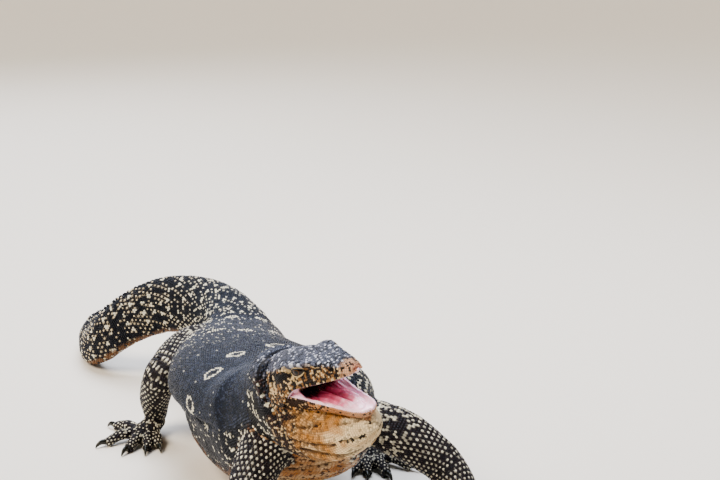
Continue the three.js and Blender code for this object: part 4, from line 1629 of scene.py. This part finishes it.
def grain_group() -> bpy.types.NodeTree:
    """The shared effect: cells and clouds that darken a colour, vary its roughness and give a height."""
    known = bpy.data.node_groups.get("skin_grain")
    if known:
        return known
    tree = bpy.data.node_groups.new("skin_grain", "ShaderNodeTree")
    given, taken = "Color Roughness Height", "Color Size Darkening Roughness Variation"
    for way, names in (("INPUT", taken), ("OUTPUT", given)):
        for name in names.split():
            kind = "Color" if name == "Color" else "Float"
            tree.interface.new_socket(name, in_out=way, socket_type=f"NodeSocket{kind}")
    nodes, links = tree.nodes, tree.links
    start, end = nodes.new("NodeGroupInput"), nodes.new("NodeGroupOutput")

    def calculate(operation: str, first, second) -> NodeSocket:
        """One sum of two sockets or numbers."""
        node = nodes.new("ShaderNodeMath")
        node.operation = operation
        for place, value in enumerate((first, second)):
            if isinstance(value, NodeSocket):
                links.new(value, node.inputs[place])
            else:
                node.inputs[place].default_value = value
        return node.outputs[0]

    place = nodes.new("ShaderNodeTexCoord").outputs["Object"]
    fine = nodes.new("ShaderNodeTexNoise")
    coarse = nodes.new("ShaderNodeTexNoise")
    links.new(place, fine.inputs["Vector"])
    links.new(place, coarse.inputs["Vector"])
    frequency = calculate("DIVIDE", 1.0, start.outputs["Size"])
    links.new(frequency, fine.inputs["Scale"])
    links.new(calculate("MULTIPLY", frequency, 0.08), coarse.inputs["Scale"])
    set_inputs(fine, Detail=3)
    set_inputs(coarse, Detail=4)
    clouds = calculate("MULTIPLY", coarse.outputs["Fac"], 0.4)
    mixed = calculate("ADD", calculate("MULTIPLY", fine.outputs["Fac"], 0.6), clouds)
    centred = calculate("MULTIPLY", calculate("SUBTRACT", mixed, 0.5), 3.0)
    shade = calculate("ADD", 1.0, calculate("MULTIPLY", centred, start.outputs["Darkening"]))
    scale = nodes.new("ShaderNodeVectorMath")
    scale.operation = "SCALE"
    links.new(start.outputs["Color"], scale.inputs[0])
    links.new(shade, scale.inputs["Scale"])
    links.new(scale.outputs[0], end.inputs["Color"])
    rough = calculate("MULTIPLY", centred, start.outputs["Variation"])
    rough = calculate("ADD", start.outputs["Roughness"], rough)
    links.new(rough, end.inputs["Roughness"])
    links.new(fine.outputs["Fac"], end.inputs["Height"])
    return tree


BLUE_SHEEN = (0.72, 0.82, 1.0)
SCALE_GLOSS = Finish("scale_gloss", 0.24, 0.08, 1.0, 0.1, 0.3, specular=0.4, sheen=BLUE_SHEEN)
THROAT_SCALE = Finish("throat_scale", 0.42, 0.1, 1.1, 0.12, 0.3, specular=0.35)
SKIN_BETWEEN = Finish("skin_between", 0.6, grain=0.7, bump=0.15, specular=0.25)
HEAD_SCALE = Finish("head_scale", 0.32, 0.1, 0.8, 0.1, 0.3, specular=0.4)
WET_LINING = Finish("wet_lining", 0.24, 0.08, 2.2, 0.4, 0.12, coat=0.7, flesh=0.2)
LID_SKIN = Finish("lid_skin", 0.42, 0.1, 0.9, 0.35, 0.35)
EYE_GLOSS = Finish("eye_gloss", 0.1, 0.0, 0.6, 0.0, 0.15, specular=0.3, coat=0.25)
CLAW_HORN = Finish("claw_horn", 0.22, 0.08, 1.4, 0.12, 0.35, coat=0.3)


def dress(piece: Object, finish: Finish, slot: str, nodes: Sequence[str]) -> None:
    """Gives a piece its material and its body, and hides the imported parts of the nodes that it stands for."""
    material = bpy.data.materials.get(finish.name) or finish.material()
    piece.data.materials.clear()
    piece.data.materials.append(material)
    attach(piece, "root")
    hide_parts(*nodes)
    LOG.info("%s: %d triangles", piece.name, len(piece.data.loop_triangles) or len(piece.data.polygons))


def add_closed(name: str, points: Array, faces: list, tints: Array, *look) -> None:
    """Puts a closed shape into the scene, tinted, with the finish, slot and nodes that dress takes."""
    made = make_object(name, points, outward_faces(points, faces))
    paint(made.data, tints)
    dress(made, *look)


def sleeves() -> dict[str, Sleeve]:
    """Every stretch of scales, in the order in which one gives way to another."""
    made = {
        "head": Sleeve("head", UPPER_HEAD, 0.2, UPPER_HEAD.last - 0.02, 90, 90, 2.3, 1.1, 8.5, 3.0),
        "jaw": Sleeve("jaw", LOWER_JAW, 0.6, LOWER_JAW.last - 0.02, 90, 90, 2.4, 1.1, 6.0, 3.0),
        "throat": Sleeve("throat", POUCH, 0, POUCH.last - 0.05, 270, 170, 2.6, 1.1, 7.0),
    }
    for paw in PAWS:
        for number, digit in enumerate(paw.digits, 1):
            toe = paw.toe_sections(digit)
            made[f"{paw.name}_{number}"] = Sleeve(paw.name, toe, 0.4, 2.97, 90, 180, 2.5, 1.2, 3.0)
        made[paw.name] = Sleeve(paw.name, paw.palm_sections(), 0, 3, 90, 180, 2.9, 1.2, 4.0)
    for name in LEGS:
        made[name] = Sleeve(name, leg_sections(name), 0.6, 4, 90, 180, 3.3, 1.1, 6.0)
    made["body"] = Sleeve("body", BODY, 0.0, 26.0, 90, 180, 3.4, 1.3, 6.0)
    return made


class Studio:
    """Pale floor and backdrop, soft lights, and the camera at the photograph's angle."""

    AZIMUTH = -17.0
    PITCH = 14.0
    LENS = 75.0
    ANCHOR = (0.0, -200.0, 150.0)
    ANCHOR_PIXEL = (320.0, 420.0)
    DISTANCE = 1750.0
    IMAGE = (720, 480)

    def build(self) -> None:
        """Puts up the floor, the lights and the camera."""
        self.floor()
        self.lights()
        self.camera()

    def floor(self) -> None:
        """A floor that bends up into the backdrop far behind."""
        x = np.linspace(-16000, 16000, 3)
        bend = np.radians(np.linspace(0, 90, 13))
        y = np.concatenate([[-9000], 15000 + 1800 * np.sin(bend), [16800]])
        z = np.concatenate([[0], 1800 * (1 - np.cos(bend)), [9000]])
        points = np.stack([np.tile(x, len(y)), np.repeat(y, 3), np.repeat(z, 3)], axis=1)
        cove = make_object("floor_and_backdrop", points, [grid_faces(len(y), 3, closed=False)[:, ::-1]])
        material = bpy.data.materials.new("pale_studio")
        material.use_nodes = True
        shader = material.node_tree.nodes["Principled BSDF"]
        set_inputs(shader, Base_Color=(*linear(0xE6E0D6), 1), Roughness=0.8)
        cove.data.materials.append(material)

    def lights(self) -> None:
        """A large overhead sky, a key from the front left, a cool fill behind, and a pale room."""
        for name, where, aim, size, power, shade in (
            ("sky", (200, 300, 2700), (0, 0, 0), 1.8, 90, 0xEAF1FF),
            ("key", (-1900, -1500, 2500), (-40, -150, 150), 0.45, 3.6, 0xFFF4E4),
            ("back_sky", (-500, 3100, 2200), (-60, 0, 120), 2.0, 60, 0xE4EDFF),
        ):
            data = bpy.data.lights.new(name, "SUN" if name == "key" else "AREA")
            data.energy, data.color = power, tuple(linear(shade))
            if name == "key":
                data.angle = size
            else:
                data.size = size
            lamp = bpy.data.objects.new(name, data)
            start, end = to_frame(np.array(where, float)), to_frame(np.array(aim, float))
            lamp.location = start
            lamp.rotation_euler = Vector(end - start).to_track_quat("-Z", "Y").to_euler()
            bpy.context.scene.collection.objects.link(lamp)
        world = bpy.data.worlds.new("room")
        world.use_nodes = True
        set_inputs(world.node_tree.nodes["Background"], Color=(*linear(0xE6EAF2), 1), Strength=0.2)
        bpy.context.scene.world = world
        bpy.context.scene.view_settings.look = "AgX - Medium High Contrast"

    def camera(self) -> None:
        """Places the camera so that the anchor falls on its pixel of the picture at its distance."""
        turn, pitch = math.radians(self.AZIMUTH), math.radians(self.PITCH)
        level = math.cos(pitch)
        ahead = np.array([-math.sin(turn) * level, math.cos(turn) * level, -math.sin(pitch)])
        right = np.array([math.cos(turn), math.sin(turn), 0])
        up = np.cross(right, ahead)
        data = bpy.data.cameras.new("camera")
        data.lens, data.sensor_width = self.LENS, 36.0
        width, height = self.IMAGE
        focal = self.LENS / 36.0 * width
        aside = (self.ANCHOR_PIXEL[0] - width / 2) / focal * self.DISTANCE
        above = -(self.ANCHOR_PIXEL[1] - height / 2) / focal * self.DISTANCE
        place = np.array(self.ANCHOR) - ahead * self.DISTANCE - right * aside - up * above
        camera = bpy.data.objects.new("camera", data)
        camera.location = to_frame(place)
        camera.rotation_euler = (math.radians(90 - self.PITCH), 0, turn)
        data.clip_end = 60
        bpy.context.scene.collection.objects.link(camera)
        bpy.context.scene.camera = camera


class Coats:
    """All the scales: laid stretch by stretch, filled in where the skin stays bare, tinted and built."""

    CROWDING = 0.72  # a scale gives way to an earlier one nearer than this share of its width
    MOST = 8800  # scales in one piece

    def __init__(self, skin: Object) -> None:
        """Keeps the skin on which the scales stand."""
        self.skin = skin
        self.sets: dict[str, Roots] = {}

    def lay(self) -> None:
        """Lays each stretch in turn, without scales that crowd those already there or cover an opening."""
        for name, sleeve in sleeves().items():
            roots = sleeve.roots(self.skin)
            roots = roots.pick(~in_opening(roots.place, roots.outward))
            if self.sets:
                known = Roots.merged(list(self.sets.values()))
                other = nearest(roots.place, known.place)
                gap = np.linalg.norm(roots.place - known.place[other], axis=1)
                roots = roots.pick(gap > self.CROWDING * np.minimum(roots.wide, known.wide[other]))
            self.sets[name] = roots
            LOG.info("%s: %d scales", name, len(roots.place))

    def fill(self) -> None:
        """Sets small scales where the lattices leave the skin bare, each joined to its nearest stretch."""
        known = Roots.merged(list(self.sets.values()))
        owner = np.concatenate([np.full(len(r.place), k) for k, r in enumerate(self.sets.values())])
        places = scatter(self.skin, 2.5)
        places, outward = settle(places, self.skin)
        free = ~in_opening(places, outward)
        places, outward = places[free], outward[free]
        other = nearest(places, known.place)
        gap = np.linalg.norm(places - known.place[other], axis=1)
        bare = (gap > 0.82 * known.wide[other]) & (gap < 14)
        places, outward, other, gap = places[bare], outward[bare], other[bare], gap[bare]
        near = known.pick(other)
        lie = unit(near.lie - outward * (near.lie * outward).sum(axis=1, keepdims=True))
        offset = places - near.place
        near.along = near.along + (offset * lie).sum(axis=1)
        near.aside = near.aside + (offset * np.cross(outward, lie)).sum(axis=1)
        size = np.clip(gap * 1.05, 2.0, 3.4)
        near.place, near.outward, near.lie, near.long, near.wide = places, outward, lie, size, size
        for k, name in enumerate(self.sets):
            mine = near.pick(owner[other] == k)
            self.sets[name] = Roots.merged([self.sets[name], mine])
        LOG.info("filled in: %d scales", len(places))


def in_opening(points: Array, outward: Array) -> Array:
    """True inside the mouth, in an eye's opening, an ear or a nostril, where no scales grow."""
    local = HEAD.local(points)
    x, y, z = local.T
    up = outward @ HEAD.up
    jx, jy, jz = HEAD.jaw_local(points).T
    jaw_up = outward @ (HEAD.place_jaw(np.array([0, 0, 1.0])) - HEAD.place_jaw(np.zeros(3)))
    palate = (x > 30) & (x < 140) & (up < -0.45) & (z < 6) & (z > -12)
    floor = (jx > 30) & (jx < 140) & (jaw_up > 0.45) & (jz > -14) & (jz < 6)
    eye = np.zeros(len(x), bool)
    for side in (1, -1):
        offset = local - eye_centre(side)
        eye |= (np.linalg.norm(offset, axis=1) < 15) & (socket(offset, side, 19) < 1)
    ear = (oval(x, z, EAR_AT, 4.2, 8.0) < 1) & (np.abs(y) > 24)
    nose = (oval(x, z, NOSTRIL_AT, 3.6, 2.3) < 1) & (np.abs(y) > 8)
    return palate | floor | eye | ear | nose


FLESH_NODES = ["head", "lower_jaw", "mouth_floor", "neck", "torso"]
FLESH_NODES += [f"tail_{k}" for k in range(1, 6)]
FLESH_NODES += [f"{part}_{side}" for side in ("right", "left")
                for part in ("upper_arm", "forearm", "thigh", "shank", "hand", "foot")]


def build_claws() -> None:
    """Every claw as a smooth horn in place of its plain solid."""
    for paw in PAWS:
        for number, digit in enumerate(paw.digits, 1):
            points, faces = loft(paw.claw_sections(digit), 0, 3, 26, 20)
            points[:, 2] = np.maximum(points[:, 2], 0.1)
            horn = make_object(f"horn_{paw.name}_{number}", points, faces)
            paint(horn.data, np.tile(linear(0x1A1612), (len(points), 1)))
            dress(horn, CLAW_HORN, "claw_horn", [f"claw_{paw.name}_{number}"])


class Eyes:
    """Both eyeballs, each between its two lids."""

    IRIS = 34.0  # angle from the pupil's middle to the white, in degrees
    PUPIL = 17.0
    PROFILE = (
        (0.9, -0.9), (0.97, 0.3), (1.06, 0.85), (1.2, 1.05), (1.34, 0.75), (1.46, 1.15), (1.62, 1.25),
        (1.8, 0.6), (2.0, -0.6), (1.9, -2.2), (1.5, -1.8), (1.1, -1.4), (0.9, -0.9),
    )

    def build(self) -> None:
        """Builds both eyes and their lids."""
        for name, side in (("eye_left", 1), ("eye_right", -1)):
            self.eyeball(name, side)
            self.lids(name, side)

    def eyeball(self, name: str, side: int) -> None:
        """A ball with a dark pupil, a thin golden ring, a dark brown iris and an almost black rim."""
        gaze, level, high = eye_axes(side)
        up = np.linspace(0.01, math.pi - 0.01, 80)[:, None, None]
        turn = (2 * math.pi * np.arange(96) / 96)[None, :, None]
        outside = np.sin(up) * (np.cos(turn) * level + np.sin(turn) * high)
        points = eye_centre(side) + (EYE_RADIUS - 0.15) * (outside - np.cos(up) * gaze)
        points, faces = closed_tube(HEAD.place(points))
        off = np.degrees(np.arccos(np.clip(unit(HEAD.local(points) - eye_centre(side)) @ gaze, -1, 1)))
        colour = np.tile(linear(0x1C0F08), (len(points), 1))
        colour = blend(colour, linear(0x8A5A24), bell(off - self.PUPIL - 3, 2.5) * 0.4)
        colour = blend(colour, linear(0x050404), eased(self.PUPIL + 1, self.PUPIL - 1, off))
        colour = blend(colour, linear(0x140B08), eased(self.IRIS, self.IRIS + 12, off))
        add_closed(f"{name}ball", points, faces, colour, EYE_GLOSS, "eye", [name])

    def lids(self, name: str, side: int, sides: int = 120, steps: int = 44) -> None:
        """Both lids as one closed ring round the almond opening.

        The profile gives how many times the opening's angles a place lies out, and its height on the eyeball.
        """
        gaze, level, high = eye_axes(side)
        turn = (2 * math.pi * np.arange(sides) / sides)[:, None]
        station = np.linspace(0, len(self.PROFILE) - 1, steps, endpoint=False)[None]
        out, above = np.moveaxis(row_at(np.array(self.PROFILE), station), -1, 0)
        rise = np.sin(turn)
        steep = np.where(rise > 0, 0.5, 0.8)
        along = np.radians(EYE_OPENING[0] * np.cos(turn) * (1 + (out - 1) * 0.62))
        upward = EYE_OPENING[1] * np.sign(rise) * np.abs(rise) ** 1.15 * (1 + (out - 1) * (1 + steep))
        upward = np.radians(upward)
        beads = 0.16 * np.sin(turn * 30) * np.sin(station * 4.2) * (above > 0)
        away = EYE_RADIUS - 0.15 + above + beads + 0.5 * eased(1.3, 1.7, out) * (rise > 0)
        way = (np.cos(upward) * np.cos(along))[..., None] * gaze
        way = way + (np.cos(upward) * np.sin(along))[..., None] * level + np.sin(upward)[..., None] * high
        points = HEAD.place((eye_centre(side) + way * away[..., None]).reshape(-1, 3))
        i, j = np.meshgrid(np.arange(sides), np.arange(steps), indexing="ij")
        k, m = (i + 1) % sides, (j + 1) % steps
        faces = np.stack([i * steps + j, i * steps + m, k * steps + m, k * steps + j], axis=-1).reshape(-1, 4)
        out, rise = (np.broadcast_to(v, (sides, steps)).ravel() for v in (out, rise))
        upper = eased(-0.1, 0.1, rise)
        dark = eased(1.3, 1.16, out) * upper + eased(1.1, 1.0, out) * (1 - upper)
        corner = eased(0.5, 0.2, np.abs(rise)) * eased(1.9, 1.5, out)
        mottle = evened(points, 3, 31) < 0.22
        colour = layered(
            Shade.LID_PALE.many(len(points)), (Shade.CHEEK, eased(1.42, 1.6, out) * (1 - upper) * 0.7),
            (Shade.LID_DARK, np.maximum(np.maximum(dark, corner), mottle * 0.7)),
        )
        add_closed(f"{name}_lids", points, [faces], colour, LID_SKIN, "dark_skin", ["head"])


@dataclass
class MouthLining:
    """The wet lining of the open mouth: palate, floor with the bed of the tongue, and a web in each corner.

    Attributes:
        rim: Width of the lip left free beside the gum, above and below.
        proud: How far the lining stands off the flesh, above and below.
        gum: Height of the gum's ridge.
        thickness: Thickness of the lining.
        rear: Where the lining starts, in front of the head's base.
        bed: Middle, level and half sizes of the tongue's bed in the jaw's frame.
        web: Where each corner's web starts and ends along the lips.
    """

    rim: tuple[float, float] = (3.0, 0.7)
    proud: tuple[float, float] = (0.2, 0.7)
    gum: float = 1.1
    thickness: float = 2.4
    rear: float = 30.0
    bed: tuple[float, ...] = (84, -9.5, 34, 17, 5.5)
    web: tuple[float, float] = (31, 60)

    def build(self) -> None:
        """Builds palate, floor and webs, each with its colours."""
        for name, shell, node in (("palate", UPPER_HEAD, "head"), ("mouth_bed", LOWER_JAW, "mouth_floor")):
            points, faces = closed_tube(self.sheet(shell))
            add_closed(name, points, faces, self.tints(points, shell), WET_LINING, "mouth_lining", [node])
        for name, side in (("web_left", 0.0), ("web_right", math.pi)):
            points, faces = closed_tube(self.corner(side))
            tints = self.corner_tints(points)
            add_closed(name, points, faces, tints, WET_LINING, "mouth_lining", ["lower_jaw"])

    def breadth(self, shell: JawShell, x: Array) -> Array:
        """Half width of the lining at a distance forward."""
        w = shell.numbers(shell.place_of(x))[1]
        return np.maximum(w - self.rim[shell.outward < 0], w * 0.5)

    def sheet(self, shell: JawShell, columns: int = 121, rows: int = 190) -> Array:
        """Rings of one half's lining: over the hollow from lip to lip, and back a thickness deeper.

        Height over the lip line is the hollow's arch, less the stand-off and a bell-shaped gum near the lip.
        """
        t = np.linspace(shell.place_of(self.rear), shell.last - 0.1, rows)[:, None]
        s = np.sin(np.linspace(-0.5, 0.5, columns) * math.pi)[None]
        x, lip = shell.numbers(t)[[0, 3]]
        inside, deep = shell.hollow(t)
        y = s * self.breadth(shell, x)
        arch = np.clip(1 - (y / inside) ** 2, 0, 1) ** 0.35
        gum = self.gum * bell((np.abs(s) - 0.84) / 0.1, 1) * (1 + 0.12 * np.sin(x * 2.2))
        rise = deep * arch - self.proud[shell.outward < 0] - gum
        z = self.relief(shell, x, y, lip + shell.outward * rise)
        face = np.stack(np.broadcast_arrays(x, y, z), axis=-1)
        buried = face + np.array([0, 0, shell.outward * self.thickness])
        return shell.to_lizard(np.concatenate([face, buried[:, ::-1]], axis=1))

    def relief(self, shell: JawShell, x: Array, y: Array, z: Array) -> Array:
        """Adds the palate's two slots, or the tongue's bed with long folds, its groove and fine wrinkles."""
        aside = np.abs(y)
        if shell.outward > 0:
            slots = 1.6 * bell(aside - 6, 1.6) * eased(66, 76, x) * eased(114, 100, x)
            ridges = 0.35 * np.sin(x * 1.1 + aside * 0.12) * bell(aside, 13)
            return z + slots + ridges - 0.9 * bell(y, 2.2)
        middle, level, long, wide, high = self.bed
        egg = np.clip(1 - ((x - middle) / long) ** 2 - (y / wide) ** 2, 0, 1)
        z = np.maximum(z, level + high * np.sqrt(egg) + self.proud[1])
        folds = 1.9 * bell(aside - 5.2, 2.1) * eased(48, 62, x) * eased(114, 98, x)
        outer_folds = 1.1 * bell(aside - 11 + 0.05 * x, 1.8) * eased(46, 60, x) * eased(104, 88, x)
        groove = 2.6 * bell(y + 0.6 * np.sin(x / 9), 1.5) * eased(46, 56, x) * eased(108, 94, x)
        wrinkles = 0.5 * np.sin(aside * 1.7 + 2.4 * np.sin(x / 10)) * eased(118, 100, x)
        return z + folds + outer_folds - groove + wrinkles

    def tints(self, points: Array, shell: JawShell) -> Array:
        """Pink, pale along the gums and in front, red in the groove and behind, almost black at the rear, where
        the gullet's dark red carries painted shade.
        """
        lower = shell.outward < 0
        x, y, z = (HEAD.jaw_local(points) if lower else HEAD.local(points)).T
        share = np.abs(y) / self.breadth(shell, x)
        mottle = evened(points, 14, 33) - 0.5
        pale = np.maximum(eased(0.58, 0.78, share), eased(88, 112, x + 16 * mottle))
        groove = bell(y + 0.6 * np.sin(x / 9), 1.8) * eased(46, 56, x) * eased(106, 92, x) * lower
        beside = bell(np.abs(y) - 8.4, 1.4) * eased(50, 60, x) * eased(104, 88, x) * 0.6 * lower
        rear = eased(74, 54, x + 8 * mottle) * eased(0.86, 0.6, share)
        return layered(
            Shade.LINING.many(len(points)), (Shade.LINING_RED, 0.25 + 0.5 * mottle),
            (Shade.LINING_PALE, pale * 0.95), (Shade.LINING_RED, np.maximum(groove, beside)),
            (Shade.LINING_RED, rear * 0.8),
            # The gullet's dark red, with painted shade of the mouth's depth, almost black at the rear.
            (Shade.GULLET, eased(62, 48, x + 6 * mottle) * eased(0.9, 0.62, share)),
        )

    def corner(self, side: float, across: int = 60, along: int = 50) -> Array:
        """Rings of one web: straight lines from the upper lip to the lower one, drawn inwards in the middle.

        The front edge lies back by a third in the middle, as a half sine, and the web hangs in by up to 4 mm.
        """
        u = np.linspace(0, 1, across)[:, None]
        v = np.linspace(0, 1, along)[None]
        bow = np.sin(math.pi * u)
        x = self.web[0] + (self.web[1] - self.web[0]) * v * (1 - 0.42 * bow)
        angle = np.full(x.shape, abs(side - 0.02))
        upper, lower = (half.surface(half.place_of(x), angle) for half in (UPPER_HEAD, LOWER_JAW))
        inward = HEAD.left * (1 if side else -1)
        deep = 3.6 - 2 * u + bow * (1.2 + 3.6 * v) + 0.35 * bow * np.sin(v * 15)
        face = upper * (1 - u[..., None]) + lower * u[..., None] + inward * deep[..., None]
        return np.concatenate([face, (face + inward * 1.8)[:, ::-1]], axis=1)

    def corner_tints(self, points: Array) -> Array:
        """Whitish pink, redder upwards and behind."""
        x, y, z = HEAD.local(points).T
        low = HEAD.jaw_local(points)[:, 2]
        mottle = evened(points, 7, 35)
        return layered(
            Shade.LINING_PALE.many(len(points)), (Shade.LINING, 0.15 + 0.35 * mottle),
            (Shade.LINING_RED, eased(3, 9, low) * 0.55), (Shade.LINING_RED, eased(42, 34, x) * 0.4),
        )


BODY_NODES = (("neck", 0, 3), ("torso", 3, 10), ("tail_1", 10, 13), ("tail_2", 13, 16), ("tail_3", 16, 19),
              ("tail_4", 19, 22), ("tail_5", 22, 26))
LIMB_NODES = {
    "arm": ("upper_arm", "forearm"), "leg": ("thigh", "shank"), "hand": ("hand",), "foot": ("foot",),
}


def covered(key: str, roots: Roots) -> list[str]:
    """The nodes whose flesh a piece of the coat covers."""
    if key == "body":
        low, high = np.quantile(roots.t, (0.02, 0.98))
        return [name for name, start, end in BODY_NODES if start < high and end > low]
    if key in ("head", "jaw", "throat"):
        return [{"head": "head", "jaw": "lower_jaw", "throat": "neck"}[key]]
    part, side = key.split("_")
    return [f"{name}_{side}" for name in LIMB_NODES[part]]


def rises(key: str, roots: Roots) -> Array:
    """How much higher than usual each scale stands: a double crest on the tail, bosses on the nape."""
    count = len(roots.place)
    if key == "body":
        aside = np.abs(roots.aside)
        crest = (aside < 3.6) & (aside > 0.4)
        high = 1 + 2.2 * crest * eased(12.5, 15, roots.t) * eased(26, 22, roots.t)
        return high * (1 + 0.35 * eased(3.5, 1.5, roots.t)) * (1 + 0.3 * eased(9, 12, roots.t))
    return np.full(count, {"head": 0.85, "jaw": 1.0, "throat": 1.15}.get(key, 1.1))


def skin_tints(points: Array, colour: Array) -> Array:
    """Darkens the skin between the scales as painted shade, and paints shade into the pits of ears, nostrils and
    eyes.
    """
    x, y, z = HEAD.local(points).T
    side = np.abs(y)
    # Painted shade between the scales, deeper under dark scales.
    colour = colour * (0.7 - 0.35 * eased(0.2, 0.06, colour.max(axis=1)))[:, None]
    ear, nose = oval(x, z, EAR_AT, 4.4, 8.2), oval(x, z, NOSTRIL_AT, 4.0, 2.6)
    eye = np.linalg.norm(np.stack([x, side, z], axis=1) - EYE_AT, axis=1)
    # Painted shade in the pits of the ears, in the eye sockets and in the nostrils.
    pit = np.maximum(eased(1.1, 0.7, ear) * (side > 22), eye < EYE_RADIUS)
    return layered(colour, (Shade.LID_DARK, pit), (Shade.LID_DARK, eased(1.1, 0.8, nose) * (side > 7)))


def dress_coats(coats: "Coats") -> tuple[Array, Array]:
    """Tints all scales, builds them in pieces and gives their places and tints for the skin."""
    tints = {"head": head_tints, "jaw": jaw_tints, "throat": throat_tints, "body": body_tints}
    all_tints = {}
    for name, roots in coats.sets.items():
        all_tints[name] = tints.get(name, leg_tints)(roots)
    pieces: dict[str, list[str]] = {}
    for name in coats.sets:
        key = name.rsplit("_", 1)[0] if name[-1].isdigit() else name
        pieces.setdefault(key, []).append(name)
    for key, members in pieces.items():
        roots = Roots.merged([coats.sets[name] for name in members])
        colour = np.concatenate([all_tints[name] for name in members])
        box = (roots.along.min(), roots.along.max(), roots.aside.min(), roots.aside.max())
        order = np.argsort(roots.along, kind="stable")
        for number, chosen in enumerate(np.array_split(order, math.ceil(len(order) / Coats.MOST)), 1):
            mine = roots.pick(chosen)
            made = Coat(f"scales_{key}_{number}", mine, colour[chosen], rises(key, mine), box).made
            finish = {"head": HEAD_SCALE, "jaw": HEAD_SCALE, "throat": THROAT_SCALE}.get(key, SCALE_GLOSS)
            slot = "throat_skin" if key in ("jaw", "throat") else "dark_skin"
            dress(made, finish, slot, covered(key, mine))
    places = np.concatenate([roots.place for roots in coats.sets.values()])
    return places, np.concatenate(list(all_tints.values()))


def main() -> None:
    """Builds the lizard's pieces in order."""
    logging.basicConfig(level=logging.INFO, format="%(message)s")
    skin = Skin().build()
    LOG.info("skin: %d vertices, %d faces", len(skin.data.vertices), len(skin.data.polygons))
    coats = Coats(skin)
    coats.lay()
    coats.fill()
    places, tints = dress_coats(coats)
    points = read_points(skin.data)
    paint(skin.data, skin_tints(points, tints[nearest(points, places)]))
    dress(skin, SKIN_BETWEEN, "dark_skin", FLESH_NODES)
    MouthLining().build()
    Eyes().build()
    build_claws()
    Studio().build()


if __name__ == "__main__":
    main()
